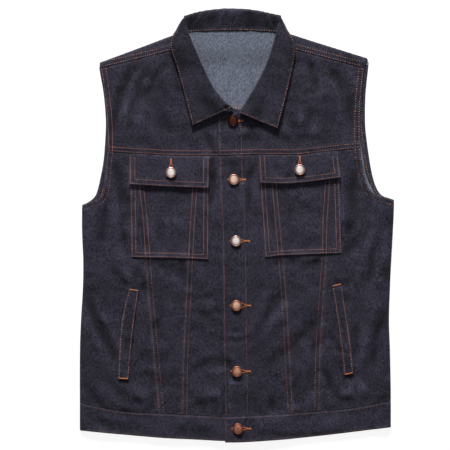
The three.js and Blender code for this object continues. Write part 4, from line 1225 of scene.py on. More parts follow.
back_yoke = cloth_piece(
    "cloth_back_yoke", back_yoke_outline(), over_the_shoulder, step=YOKE_STEP,
    relief=shoulder_rise, pucker=0.12,
)
declare(back_yoke, "back_yoke", flat=(444, 161))
shoulder_rows = []
for start, end in SHOULDER_ROW_ENDS:
    for up in SHOULDER_ROWS:
        x = np.linspace(start, end, 80)
        line = np.stack([x, unfolded(x, shoulder_seam(x) + up)], axis=1)
        shoulder_rows.append(row_on(over_the_shoulder, line, lift=FELL_RISE))
sew("stitches_shoulders", shoulder_rows)
sew("stitches_back_yoke", [
    row_on(over_the_shoulder, across(level(BACK_YOKE_SEAM + up), *BACK_YOKE_ROW_ENDS), lift)
    for up in BACK_YOKE_ROWS for lift in (-CLOTH, -0.1)
])


# Armhole hems at the back
# The back's armhole edge is turned to the inside, with its dark face showing as a narrow band,
# and sewn with one row that also shows underneath.

HEM_WIDTH = {"left": 10.2, "right": 12.6}
HEM_LENGTH = {"left": 235, "right": 232}
HEM_ROW = {"left": 6.7, "right": 9.6}
HEM_THICKNESS = 0.95
HEM_INSET = 0.4  # from the back's own edge
HEM_OVER = 1.0  # its face over the back's inside
HEM_STEP = 3.0
HEM_NARROWS = {"left": 0.36, "right": 0.08}  # towards the underarm, as a share of the width
HEM_NARROWS_FROM = (62, 92)


def hem_share(side, y):
    """How much of its width a hem has at a height."""
    return 1 - HEM_NARROWS[side] * (1 - smooth(*HEM_NARROWS_FROM, y))


def hem_arm(side):
    """The armhole's edge as far as the hem lies flat, clear of both folds."""
    arm = back_armhole(side, HEM_STEP)
    clear = FOLD_REACH + 2
    before_side = np.abs(arm[:, 0]) < SIGN[side] * side_fold[side](arm[:, 1]) - clear
    return arm[(arm[:, 1] < shoulder_fold(arm[:, 0]) - clear) & before_side]


def on_back_inside(x, y, over):
    return x, y, back_lift(x, y) + CLOTH + HEM_OVER + over


def under_back(x, y, over):
    return x, y, back_lift(x, y) - over


for side in SIDES:
    sign = SIGN[side]
    arm = hem_arm(side)
    share = hem_share(side, arm[:, 1])[:, None]
    edge, inner = moved(arm, -sign * HEM_INSET), moved(arm, -sign * HEM_WIDTH[side])
    inner += (edge - inner) * (1 - share)
    band = cloth_piece(
        f"hem_armhole_{side}", outline_of(edge, inner[::-1]), on_back_inside,
        thickness=HEM_THICKNESS, step=HEM_STEP, pucker=0.06,
    )
    declare(band, flat=(HEM_WIDTH[side], HEM_LENGTH[side]))
    line = arm + (moved(arm, -sign * HEM_ROW[side]) - arm) * share
    rows = [row_on(on_back_inside, line), row_on(under_back, line, lift=-PRESSED)]
    sew(f"stitches_back_armhole_{side}", rows)


# Chest pockets and their flaps
# A patch pocket of one layer on each front, sewn round with two rows. The flap is two layers,
# caught in the yoke's seam, and hangs down over the pocket's mouth.

# y: x of the edge nearer the front edge, x of the other one
POCKET_SIDES = {
    "left": {-50: (46.3, 172.2), 100: (36.3, 168)},
    "right": {-54: (-46.9, -173.9), 100: (-46, -176)},
}
POCKET_LOWER = {
    "left": {47: -52.8, 76: -49.8, 170: -46.2},
    "right": {-174: -52.8, -110: -54, -47: -56.4},
}
FLAP_SIDES = {
    "left": {70: (38, 171.4), 118: (35.6, 166)},
    "right": {63: (-46, -177.2), 118: (-45.2, -177.2)},
}
FLAP_LOWER = {
    "left": {38: 69.8, 71: 68.1, 104: 69.8, 170: 78},
    "right": {-177: 67.3, -143.4: 64.8, -110: 63.2, -46: 60.7},
}
POCKET_TOP = 100
POCKET_FLAT = {"left": (136, 153), "right": (130, 156)}
FLAP_FLAT = {"left": (135, 55), "right": (132, 58)}
FLAP_CURL = 1.5  # how much the flap's lower edge stands up
FLAP_CAUGHT = 1.2  # how much lower it lies where the yoke's seam holds it
POCKET_OVER = LAY_GAP + CLOTH
FLAP_OVER = 2 * LAY_GAP + CLOTH + DOUBLE
POCKET_ROWS = (1.7, 7.9)
POCKET_ROWS_END = 74  # at this height, under the flap
FLAP_ROWS = (2.1, 9.2)
FLAP_ROWS_END = 113
flap_lower_edge = {side: curve(FLAP_LOWER[side]) for side in SIDES}


def above_front(side, by):
    return lambda x, y, over: (x, y, outer_face(side, x, y) + by + over)


def on_pocket(side):
    """The pocket is a little fuller than the panel under it."""
    def place(x, y, over):
        full = 0.3 + 0.4 * waves(x, y, size=40, seed=21) * smooth(-48, -20, y)
        return x, y, outer_face(side, x, y) + POCKET_OVER + np.maximum(full, 0) + over
    return place


def on_flap(side):
    """The flap rises a little at its lower edge and thins out into the yoke's seam."""
    def place(x, y, over):
        caught = FLAP_CAUGHT * smooth(yoke_seam(x) - 18, yoke_seam(x), y)
        curl = FLAP_CURL * (1 - smooth(0, 26, y - flap_lower_edge[side](x)))
        full = 0.55 + 0.2 * waves(x, y, size=34, seed=22)
        return x, y, outer_face(side, x, y) + FLAP_OVER + full + curl - caught + over
    return place


def frame_row(a, b, lower, end, inset):
    """A row down one side, along the lower edge and up the other side, an inset from them."""
    lower_in = shifted(lower, inset)
    turn = 1 if float(b(0)) > float(a(0)) else -1
    line_a, line_b = shifted(a, turn * inset), shifted(b, -turn * inset)
    corner_a, corner_b = meets(line_a, lower_in), meets(line_b, lower_in)
    return np.concatenate([
        upright(line_a, end, corner_a[1], 1.0)[:-1],
        across(lower_in, corner_a[0], corner_b[0], 1.0),
        upright(line_b, corner_b[1], end, 1.0)[1:],
    ])


for side in SIDES:
    pocket_sides = [curve(POCKET_SIDES[side], k) for k in (0, 1)]
    pocket_lower = curve(POCKET_LOWER[side])
    pocket_face = on_pocket(side)
    outline = panel_outline(*pocket_sides, pocket_lower, level(POCKET_TOP))
    pocket = cloth_piece(f"cloth_pocket_{side}", outline, pocket_face, pucker=0.22, tone=fold_shade_and_fade)
    declare(pocket, f"pocket_{side}", flat=POCKET_FLAT[side])
    flap_sides = [curve(FLAP_SIDES[side], k) for k in (0, 1)]
    flap_lower = flap_lower_edge[side]
    flap_face = on_flap(side)
    outline = panel_outline(*flap_sides, flap_lower, shifted(yoke_seam, -0.5))
    flap = cloth_piece(f"cloth_flap_{side}", outline, flap_face, DOUBLE, tone=fold_shade_and_fade)
    declare(flap, f"flap_{side}", flat=FLAP_FLAT[side])

    rows = [
        row_on(pocket_face, frame_row(*pocket_sides, pocket_lower, POCKET_ROWS_END, inset))
        for inset in POCKET_ROWS
    ]
    for seam in panel_seam[side]:
        for shift in (-ROW_HALF, ROW_HALF):
            line = shifted(seam, shift)
            bottom = meets(line, shifted(pocket_lower, 1.0))[1]
            rows.append(row_on(pocket_face, upright(line, bottom, POCKET_ROWS_END)))
    sew(f"stitches_pocket_{side}", rows)
    sew(f"stitches_flap_{side}", [
        row_on(flap_face, frame_row(*flap_sides, flap_lower, FLAP_ROWS_END, inset))
        for inset in FLAP_ROWS
    ])


# Hand pockets
# A slanted welt of folded denim covers each opening. Its long sides are sewn down, and a dense
# bar of orange thread holds each short end.

# y: x of the edge nearer the front edge, x of the other one
WELT_SIDES = {
    "left": {-246: (176.2, 192.2), -197: (170.9, 187.4), -156: (165.2, 181.6), -98: (156, 172.3)},
    "right": {-253: (-178, -195.5), -189: (-172.3, -192.8), -148: (-167.3, -188), -105: (-161, -178)},
}
WELT_LOWER = {"left": {176.7: -246.7, 192.4: -243.7}, "right": {-195.4: -252.5, -178: -253.6}}
WELT_UPPER = {"left": {156: -99.3, 171.8: -95.2}, "right": {-178: -104.3, -161: -106.8}}
WELT_FLAT = {"left": (17, 152), "right": (20, 150)}
WELT_OVER = LAY_GAP + DOUBLE
WELT_ROW = 1.8  # from each long side
WELT_ROW_STOPS = 1.5  # short of each short end
BARTACK_OUT = 0.4  # beyond the rows' ends
BARTACK_STEP = 0.55
BARTACK_HALF = 1.05
BARTACK_RADIUS = 0.36
SATIN_OVER = 0.15  # dense stitches lie this much over the cloth, and their middles more
SATIN_CROWN = 0.3


def bright_thread_material():
    material, tree, surface = new_material(
        "orange_thread", Roughness=0.55, Specular_IOR_Level=0.25,
    )
    uneven = grain(tree, place_on_piece(tree), (500, 500, 500), 3.0, 0.6)
    shade = math_node(tree, "MULTIPLY_ADD", uneven, 2.0, -0.5, clamp=True)
    colour = mix_colours(tree, shade, (0.24, 0.07, 0.024, 1), (0.5, 0.17, 0.06, 1))
    tree.links.new(colour, surface.inputs["Base Color"])
    return material


BRIGHT_THREAD = bright_thread_material()


def satin(place, line, half, lean=0.25):
    """Dense stitches side by side across a line of pattern points."""
    line = even(line, BARTACK_STEP)
    tangent = np.gradient(line, axis=0)
    tangent /= np.linalg.norm(tangent, axis=1)[:, None]
    cross = np.stack([-tangent[:, 1], tangent[:, 0]], axis=1) + lean * tangent
    start, end = (
        placed(place, *(line + sense * half * cross).T, SATIN_OVER) for sense in (-1, 1)
    )
    centres = (start + end) / 2 + (0, 0, SATIN_CROWN)
    return centres, (end - start) / 2, np.tile(STRAIGHT_UP, (len(line), 1))


for side in SIDES:
    sides = [curve(WELT_SIDES[side], k) for k in (0, 1)]
    lower, upper = curve(WELT_LOWER[side]), curve(WELT_UPPER[side])
    face = above_front(side, WELT_OVER)
    welt = cloth_piece(
        f"cloth_welt_{side}", panel_outline(*sides, lower, upper), face, DOUBLE, step=2.2,
        pucker=0.16, tone=fold_shade_and_fade,
    )
    declare(welt, f"welt_{side}", flat=WELT_FLAT[side])
    rows, low_end, high_end = [], [], []
    for line, inward in zip(sides, (SIGN[side], -SIGN[side])):
        inner = shifted(line, inward * WELT_ROW)
        low = meets(inner, lower)[1] + WELT_ROW_STOPS
        high = meets(inner, upper)[1] - WELT_ROW_STOPS
        rows.append(row_on(face, upright(inner, low, high)))
        low_end.append((float(inner(low)), low - BARTACK_OUT))
        high_end.append((float(inner(high)), high + BARTACK_OUT))
    sew(f"stitches_welt_{side}", rows)
    bartacks = [satin(face, end, BARTACK_HALF) for end in (low_end, high_end)]
    sew_bars(f"bartacks_welt_{side}", bartacks, BARTACK_RADIUS, BRIGHT_THREAD)


# Waistband
# One long strip folded double, from the right front's edge round the back to the left front's
# edge, sewn on over the panels with a row along both long edges.

BAND_PROUD = 0.8
BAND_HEIGHT = 42
# heights of the mesh's rows, of a height of 40
BAND_LEVELS = (0, 0.35, 1.1, 3, 7, 12, 17, 22, 27, 32, 36, 38.6, 39.65, 40)
BAND_STEP = 3.2
BAND_BENDS = 13  # sections round each side fold
BAND_SIDE_Y = -320  # at this height the band reaches the side folds
BAND_MIDDLE_Y = -335
BAND_PUCKER = 0.22
BAND_PUCKER_AT = 3.5
BAND_PUCKER_REACH = 4
END_DROP = 2.2  # the overlapping end hangs this much lower
END_DROP_FALLS = (-20, 70)
BAND_ROW_TOP = -2.2  # a row's place from the seam, and from the hem
BAND_ROW_LOW = 2.0
BAND_END_ROW = (2.2, -354, -318)  # from the free edge, from y, to y


def band_top(x, y):
    return np.maximum(front_top(x, y) + BAND_PROUD, 2 * DOUBLE + 2 * LEAST_AIR)


def overlap_hem(x):
    """The hem of the left front's end, which laps over the right's."""
    return hem(x) - END_DROP * (1 - smooth(*END_DROP_FALLS, x))


def band_section():
    """Round the band: where each section lies, with its x or how far it is round a side."""
    left, right = (abs(float(side_fold[side](BAND_SIDE_Y))) - FOLD_REACH for side in SIDES)
    free_end = float(front_edge(BAND_MIDDLE_Y))
    parts = (
        ("under", np.arange(UNDER_EDGE, -right, -BAND_STEP)),
        ("right", np.linspace(0, 1, BAND_BENDS)),
        ("beneath", np.arange(-right + 2, left - 1, 2 * BAND_STEP)),
        ("left", np.linspace(1, 0, BAND_BENDS)),
        ("over", np.linspace(left - 2, free_end, int((left - free_end) / BAND_STEP))),
    )
    return [(kind, value) for kind, values in parts for value in values]


def band_face(kind, value, share, sink):
    """A point on the band, sunk below its face. share runs from the hem to the seam."""
    if kind in SIDES:
        sign = SIGN[kind]
        centre = float(side_fold[kind](BAND_SIDE_Y)) - sign * FOLD_REACH
        turn = math.pi * (0.5 - value)
        x = centre + sign * (FOLD_REACH - sink) * math.cos(turn)
        low, high = float(hem(x)), float(waist_seam(x)) - SEAM_GAP
        y = low + (high - low) * share
        top = float(band_top(centre, y))
        return x, y, top / 2 + (top / 2 - sink) * math.sin(turn)
    low = float(overlap_hem(value) if kind == "over" else hem(value))
    y = low + (float(waist_seam(value)) - SEAM_GAP - low) * share
    if kind == "beneath":
        return value, y, sink
    z = float(band_top(value, y)) + (float(lap_rise(value, DOUBLE)) if kind == "over" else 0)
    return value, y, z - sink


def shell_faces(rows, columns):
    """The faces of a layer of cloth from two grids of points, outer and inner, of this size."""
    count = rows * columns
    faces = []

    def join(a, b):
        faces.append((a, b, b + count, a + count))

    for r in range(rows - 1):
        for c in range(columns - 1):
            a, d = r * columns + c, (r + 1) * columns + c
            faces.append((a + 1, a, d, d + 1))
            faces.append((a + count, a + 1 + count, d + 1 + count, d + count))
    last_row = (rows - 1) * columns
    for c in range(columns - 1):
        join(c, c + 1)
        join(last_row + c + 1, last_row + c)
    for r in range(rows - 1):
        a, d = r * columns, (r + 1) * columns
        join(d, a)
        join(a + columns - 1, d + columns - 1)
    return faces


def make_waistband():
    """The whole strip, and its length."""
    section = band_section()
    outer, inner, worn = [], [], []
    for height in BAND_LEVELS:
        share = height / BAND_LEVELS[-1]
        off = min(height, BAND_LEVELS[-1] - height)
        at_seam = math.exp(-(((off - BAND_PUCKER_AT) / BAND_PUCKER_REACH) ** 2))
        for i, (kind, value) in enumerate(section):
            near = min(off, i * BAND_STEP, (len(section) - 1 - i) * BAND_STEP)
            x, y, z = band_face(kind, value, share, float(rounded_rim(near)))
            if kind in ("under", "over"):
                z += BAND_PUCKER * float(waves(x, y, size=9, seed=31)) * at_seam
            outer.append((x, y, z))
            inner.append(band_face(kind, value, share, DOUBLE))
            worn.append(float(rubbed(x, y, near)))
    faces = shell_faces(len(BAND_LEVELS), len(section))
    piece = make_mesh("cloth_waistband", outer + inner, faces, (DENIM_FACE,))
    mark(piece, "wear", worn * 2)
    x, y, _ = np.transpose(outer)
    # The fold mark paints shade into the band's troughs and pales its ridges.
    mark(piece, "fold", np.tile(fold_shade_and_fade(x, y), 2))
    middle = np.array(outer).reshape(len(BAND_LEVELS), len(section), 3)[6]
    length = float(run_along(middle)[-1])
    piece["face_area"] = length * BAND_HEIGHT * MM * MM
    return piece, length


waistband, band_length = make_waistband()
declare(waistband, "waistband", flat=(band_length, BAND_HEIGHT))


def on_band(kind):
    def place(x, y, over):
        rise = lap_rise(x, DOUBLE) if kind == "over" else 0
        return x, y, band_top(x, y) + rise + over
    return place


inset, low_y, high_y = BAND_END_ROW
band_rows = [row_on(on_band("over"), upright(shifted(front_edge, inset), low_y, high_y))]
# where the rows lie, their hem, from x, to x
for face, lower, x0, x1 in (
    (on_band("under"), hem, -250, -21),
    (on_band("over"), overlap_hem, -16.5, 245),
    (flat_on_surface, hem, -248, 242),
):
    for line in (shifted(waist_seam, BAND_ROW_TOP), shifted(lower, BAND_ROW_LOW)):
        band_rows.append(row_on(face, across(line, x0, x1)))
band_rows.insert(4, band_rows.pop(0))  # the order in which they are sewn
sew("stitches_waistband", band_rows, dull=0.6)


# Collar
# One double piece with a folded-down fall. At the back its stand rises from the neck seam, rolls
# over, and the fall lies underneath. At each side of the neck it becomes a pointed leaf.

# x: y of the roll at the back of the neck, y of the fall's edge beneath
COLLAR_TOP = {
    -84: (346, 299), -64: (351.9, 304), -38: (355.9, 308), -5: (357.2, 310), 28: (355, 308),
    70: (346.4, 299),
}
# Points from the back of the neck down to the front
COLLAR_ROLL = {
    "left": [
        (68.5, 333), (62.9, 312.3), (51.3, 272.7), (33.2, 234.8), (17, 207.5), (8.5, 194),
        (3.2, 184.6),
    ],
    "right": [
        (-84.4, 333), (-79, 315.6), (-60.9, 272.7), (-41.1, 231.5), (-22, 206), (-6.6, 193.6),
    ],
}
COLLAR_EDGE = {
    "left": [
        (78.6, 332), (86.6, 315), (94.2, 299.1), (94.6, 276), (86, 233.1), (76.1, 193.5),
        (67, 158.9),
    ],
    "right": [
        (-95.4, 331.5), (-104, 314), (-109.6, 297.5), (-107.1, 284), (-97.2, 254.6), (-84, 207),
        (-73.3, 163.8),
    ],
}
COLLAR_CORNER = {"left": (72.6, 344), "right": (-88.4, 342.5)}
# x of the stand's ends at the neck's seam, and at the roll
STAND_ENDS = {"right": (-84, -87.4), "left": (70, 72.8)}
COLLAR_STEP = 2.2
COLLAR_ROW = 1.9  # from a leaf's edges
NECK_ROW = 2.6  # from the neck's seam
COLLAR_STAND = (17, 4)  # the folded stand under each leaf, at the neck and at the front
COLLAR_BEND = 1.4
ROLL_RADIUS = 5.0
STAND_FALL = 30  # how far from the roll the stand comes down to the neck seam
COLLAR_WRAP = (0.063, 0.12)  # shares of a leaf's length over which it wraps down beside the neck
LEAF_ROWS = 90
LEAF_FLAT = {"left": (80, 186), "right": (83, 181)}
LEAF_SHADE = {"left": -0.6, "right": -0.9}  # painted shade: the leaves are painted darker, the right one more
LEAF_CURL = 1.3  # a leaf's outer edge stands this much off the front
LEAF_LIFT = {"left": 2.8, "right": 1.4}  # and its front edge this much
ROLL_OPENS = {"left": 2.0, "right": 1.6}  # the roll is this much rounder at its front end
STAND_RUN = math.pi * ROLL_RADIUS
# Creases of the stand: from x, y to x, y, then width and height
STAND_CREASES = [
    (-56, 354, -78, 318, 13, -2.3),
    (-34, 354, -46, 322, 7, -1.0),
    (-22, 354, -28, 324, 5, 0.9),
    (-6, 354, -10, 324, 6, 0.9),
    (20, 354, 26, 320, 10, -2.0),
    (48, 352, 60, 320, 12, -2.3),
]
collar_roll = curve(COLLAR_TOP, 0)
collar_fall = curve(COLLAR_TOP, 1)


def round_the_roll(x, v, over):
    """Pattern points of the collar's back: fall, roll, and the stand down to the neck seam."""
    centre = collar_roll(x) - ROLL_RADIUS
    past = v - centre - STAND_RUN
    turn = np.clip((v - centre) / STAND_RUN, 0, 1) * np.pi - np.pi / 2
    bent_y = centre + (ROLL_RADIUS + over) * np.cos(turn)
    bent_z = ROLL_RADIUS + (ROLL_RADIUS + over) * np.sin(turn)
    stand_z = 2 * ROLL_RADIUS + over - 2 * (ROLL_RADIUS - NECK_LIFT) * smooth(0, STAND_FALL, past)
    y = np.where(v < centre, v, np.where(past > 0, centre - past, bent_y))
    return x, y, np.where(v < centre, -over, np.where(past > 0, stand_z, bent_z))


def stand_end(x, gap):
    """Where the stand's pattern comes within a gap of the neck seam."""
    return 2 * (collar_roll(x) - ROLL_RADIUS) + STAND_RUN - (back_neck(x) + gap)


def collar_back_outline():
    pieces = []
    for side in SIDES:
        neck_end, roll_end = STAND_ENDS[side]
        edge = along([COLLAR_CORNER[side], *COLLAR_EDGE[side][:3]], COLLAR_STEP)[::-1]
        centre = float(collar_roll(roll_end)) - ROLL_RADIUS
        rise = even([
            (roll_end, centre + 1),
            (roll_end, centre + STAND_RUN + 6),
            (neck_end, float(stand_end(neck_end, 0.3))),
        ], COLLAR_STEP)
        pieces.append(np.concatenate([edge, rise]))
    left, right = pieces
    x = np.linspace(STAND_ENDS["left"][0], STAND_ENDS["right"][0], 60)
    neck = even(np.stack([x, stand_end(x, 0.3)], axis=1), COLLAR_STEP)
    fall = np.stack([x[::-1], collar_fall(x[::-1])], axis=1)
    fall = np.concatenate([[COLLAR_EDGE["right"][2]], fall, [COLLAR_EDGE["left"][2]]])
    return outline_of(even(fall, COLLAR_STEP), left, neck, right[::-1])


def stand_creases(x, y):
    return crease_height(STAND_CREASES, x, y)


def stand_relief(x, v):
    x, y, z = round_the_roll(x, v, 0 * v)
    return np.where(z > ROLL_RADIUS, stand_creases(x, y) + 0.15 * waves(x, y, size=18, seed=41), 0)


# The stand's creases also paint its colour: painted shade in their troughs, paler on their ridges.
collar_back = cloth_piece(
    "cloth_collar_back", collar_back_outline(), round_the_roll, DOUBLE, step=COLLAR_STEP,
    relief=stand_relief, pucker=0.15, tone=stand_creases,
)
collar_back.data.materials[1] = DENIM_FACE
declare(collar_back, "collar_back", flat=(204, 102))


def leaf_ground(side, x, y):
    """What a leaf lies on: the left front's edge lies under the right leaf too."""
    if side == "left":
        return outer_face("left", x, y)
    return outer_face("right", x, y) + lap_rise(x) * smooth(-62, -34, x)


def point_on(line, share):
    """The point that lies a share of the way along an evenly spaced line."""
    at = share * (len(line) - 1)
    return np.array([np.interp(at, range(len(line)), line[:, k]) for k in (0, 1)])


def leaf_line(side, share):
    """A leaf's section, both its faces: its folded stand, the roll, and out to its edge."""
    start = point_on(ROLL_LINE[side], share)
    stop = point_on(EDGE_LINE[side], share)
    width = float(np.linalg.norm(stop - start))
    out = (stop - start) / width
    half = DOUBLE / 2
    under_roll = COLLAR_STAND[0] + (COLLAR_STAND[1] - COLLAR_STAND[0]) * share
    stand = min(under_roll, 0.45 * width)  # less than half the leaf
    bend = COLLAR_BEND + ROLL_OPENS[side] * float(smooth(0.45, 1, share))
    bend_at = bend + half
    wrap = 1 - float(smooth(*COLLAR_WRAP, share))
    reach = min(6, 0.3 * width)
    wrap_from = width - half * wrap - reach
    curl = LEAF_CURL * float(smooth(0.1, 0.4, share))
    lift = LEAF_LIFT[side] * float(smooth(0.55, 1, share))

    def in_space(q):
        return start[0] + out[0] * q, start[1] + out[1] * q

    def low(q):
        return leaf_ground(side, *in_space(q)) + 2 * LAY_GAP + half

    def high(q):
        rolled = 2 * bend * (1 - smooth(stand, stand + 34, q))
        curled = curl * smooth(0.35 * width, width, q)
        return low(q) + rolled + curled + lift * smooth(bend_at, bend_at + 12, q)

    folded_q = np.linspace(max(stand, bend_at + 0.5), bend_at, 5)
    roll_turn = np.linspace(1.5, 0.5, 9)[1:-1] * np.pi
    roll_q = bend_at + bend * np.cos(roll_turn)
    roll_z = float(low(bend_at)) + bend * (1 + np.sin(roll_turn))
    leaf_q = np.linspace(bend_at, wrap_from, 26)
    wrap_turn = np.linspace(0, np.pi / 2, 9)[1:]
    wrap_q = wrap_from + reach * np.sin(wrap_turn)
    wrap_top = float(high(wrap_from))
    drop = wrap * (wrap_top - DOUBLE - 0.3)
    wrap_z = high(wrap_q) * (1 - wrap) + wrap_top * wrap - drop * (1 - np.cos(wrap_turn))
    q = np.concatenate([folded_q, roll_q, leaf_q, wrap_q])
    z = np.concatenate([low(folded_q), roll_z, high(leaf_q), wrap_z])
    slope = np.gradient(np.stack([q, z], axis=1), axis=0)
    slope /= np.linalg.norm(slope, axis=1)[:, None]
    return [
        np.stack([*in_space(q - sense * half * slope[:, 1]), z + sense * half * slope[:, 0]], axis=1)
        for sense in (1, -1)
    ]


ROLL_LINE = {side: along(COLLAR_ROLL[side], 1.5) for side in SIDES}
EDGE_LINE = {side: along(COLLAR_EDGE[side], 1.5) for side in SIDES}


def make_leaf(side):
    """A leaf of the collar. It gives back the grid of points on its outer face."""
    sections = [leaf_line(side, share) for share in np.linspace(0, 1, LEAF_ROWS + 1)]
    outer, inner = (np.array(grid) for grid in zip(*sections))
    front_off = np.linalg.norm(outer - outer[-1:], axis=2)
    side_off = np.linalg.norm(outer - outer[:, -1:], axis=2)
    off = np.minimum(front_off, side_off)
    x, y = outer[..., 0], outer[..., 1]
    at_seam = np.exp(-(((off - PUCKER_AT) / PUCKER_REACH) ** 2))
    outer[..., 2] += 0.16 * waves(x, y, size=9, seed=43) * at_seam - rounded_rim(off)
    points = np.concatenate([outer.reshape(-1, 3), inner.reshape(-1, 3)])
    faces = shell_faces(*outer.shape[:2])
    if side == "right":
        faces = [face[::-1] for face in faces]
    piece = make_mesh(f"cloth_collar_leaf_{side}", points, faces, (DENIM_FACE,))
    mark(piece, "wear", np.tile(rubbed(x, y, off).ravel(), 2))
    # A painted shade darkens each leaf, unevenly.
    tone = LEAF_SHADE[side] + 0.35 * waves(x, y, size=46, seed=44)
    mark(piece, "fold", np.tile(tone.ravel(), 2))
    a = outer[:-1, 1:] - outer[:-1, :-1]
    b = outer[1:, :-1] - outer[:-1, :-1]
    piece["face_area"] = float(np.linalg.norm(np.cross(a, b), axis=2).sum()) * MM * MM
    declare(piece, f"collar_leaf_{side}", flat=LEAF_FLAT[side])
    return outer


def surface_row(line):
    """Stitches along a line of points that already lie on a face."""
    run = run_along(line)
    middles = np.arange(STITCH_PITCH / 2, run[-1] - STITCH_LENGTH / 2, STITCH_PITCH)
    start, end = (at_run(line, run, middles + sense * STITCH_LENGTH / 2) for sense in (-1, 1))
    over = (0, 0, STITCH_RISE + 0.05)
    return (start + end) / 2 + over, (end - start) / 2, np.tile(STRAIGHT_UP, (len(middles), 1))


def inset_line(grid, inset):
    """Across a grid's rows, the point that lies an inset from the last column."""
    return np.array([at_run(row[::-1], run_along(row[::-1]), inset) for row in grid])


collar_rows = []
for side in SIDES:
    grid = make_leaf(side)
    side_line = inset_line(grid, COLLAR_ROW)
    front_line = inset_line(grid.transpose(1, 0, 2), COLLAR_ROW)
    near = np.linalg.norm(side_line[:, None] - front_line[None], axis=2)
    i, j = np.unravel_index(near.argmin(), near.shape)
    collar_rows.append(surface_row(np.concatenate([side_line[:i + 1], front_line[j::-1]])))
neck_x = np.linspace(-80, 66, 60)
neck_line = np.stack([neck_x, stand_end(neck_x, NECK_ROW)], axis=1)
collar_rows.append(row_on(round_the_roll, neck_line))
sew("stitches_collar", collar_rows, dull=0.12)


# Buttonholes
# A keyhole buttonhole for each button: dense orange stitches round a slit, whose lips part a
# little where the button's post comes through. Front ones lie across, those of the flaps upright.

BUTTONS = [(-6.4, 171.8), (-4.8, 75.2), (-1.5, -25.9), (-0.7, -132), (0.2, -240.4), (1.8, -334.5)]
FLAP_BUTTONS = {"left": (103.3, 91.2), "right": (-108.4, 86.6)}
HOLE_BEFORE = (8, 10.5, 10.5, 10.5, 10.5, 10.5)  # from the button's middle towards the front edge
HOLE_AFTER = (16, 19, 22, 23, 22, 21)
HOLE_PARTED = (0.2, 0.5, 0.5, 1.0, 0.6, 0.5)
FLAP_HOLE = (4, 22, 0.6)  # before the button, after it, and how far its lips part
HOLE_HALF = 0.75  # half the length of the stitches round it
HOLE_END_HALF = 0.9  # and of those across its closed end
HOLE_END_REACH = 1.3
HOLE_LEAN = 0.1
HOLE_RADIUS = 0.33
LIPS = 3.4


def keyhole(place, middle, direction, before, after, parted):
    """Both lips of a buttonhole, from its eye near the front edge to its closed end."""
    dx, dy = direction
    t = np.linspace(-before, after, 40)
    open_part = between((-before, -before + 5), (8, 0.74 * after), t)
    width = HOLE_HALF * 0.75 + LIPS * parted * open_part
    rows = []
    for sense in (1, -1):
        x = middle[0] + dx * t - dy * sense * width
        y = middle[1] + dy * t + dx * sense * width
        rows.append(satin(place, np.stack([x, y], axis=1), HOLE_HALF, HOLE_LEAN))
    end = np.array(middle) + np.array(direction) * after
    cross = np.array([-dy, dx]) * HOLE_END_REACH
    rows.append(satin(place, [end - cross, end + cross], HOLE_END_HALF, HOLE_LEAN))
    return rows


hole_rows = []
for (x, y), *hole in zip(BUTTONS, HOLE_BEFORE, HOLE_AFTER, HOLE_PARTED):
    place = on_band("over") if y < waist_seam(x) else on_front("left")
    hole_rows += keyhole(place, (x, y), (1, 0), *hole)
for side in SIDES:
    hole_rows += keyhole(on_flap(side), FLAP_BUTTONS[side], (0, 1), *FLAP_HOLE)
sew_bars("buttonholes", hole_rows, HOLE_RADIUS, BRIGHT_THREAD)


# Buttons
# Copper tack buttons: a domed cap with a rolled rim, pressed on a post that goes through the
# cloth. The third and those of the flaps are painted near white, a painted reflection, the others keep a
# brown skin, and the first is painted dark, a painted shade under the collar.

BUTTON_SEAT = 0.45  # the button's foot over the cloth
CAP_FROM = 1.25  # above this height the button is the cap, which may tilt on its post
# radius, height
BUTTON_PROFILE = [
    (0, 0), (4.4, 0), (4.5, 0.6), (4.6, 1.2), (7.9, 1.35), (8.6, 1.7), (8.85, 2.3), (8.8, 2.8),
    (8.45, 3.2), (7.9, 3.4), (7.4, 3.34), (7.1, 3.1), (6.8, 3.05), (6.4, 3.18), (5.4, 3.46),
    (4.2, 3.64), (2.4, 3.74), (0, 3.78),
]
BUTTON_SIDES = 48
GROOVE = (6.5, 7.3)  # radii between the rim and the dome
RIM_SHADE = 0.75  # painted shade: how much of the groove's brown the rim has, fading in towards the dome's middle
SKIN_REFLECTION_AND_SHADE = (2.0, 0.36, 0.06, 0.62, 0.9, 1.0)  # on each front button, from the neck down: the share of brown skin, the rest painted near white as a painted reflection; over 1 a painted shade
# Painted nearly white on the flaps: a painted reflection.
FLAP_SKIN = 0.05
TILTS = [(0.02, -0.03), (-0.03, 0.02), (0.01, 0.02), (-0.03, 0.03), (0.03, -0.02), (0.02, 0.02)]
FLAP_TILT = (0.01, -0.02)


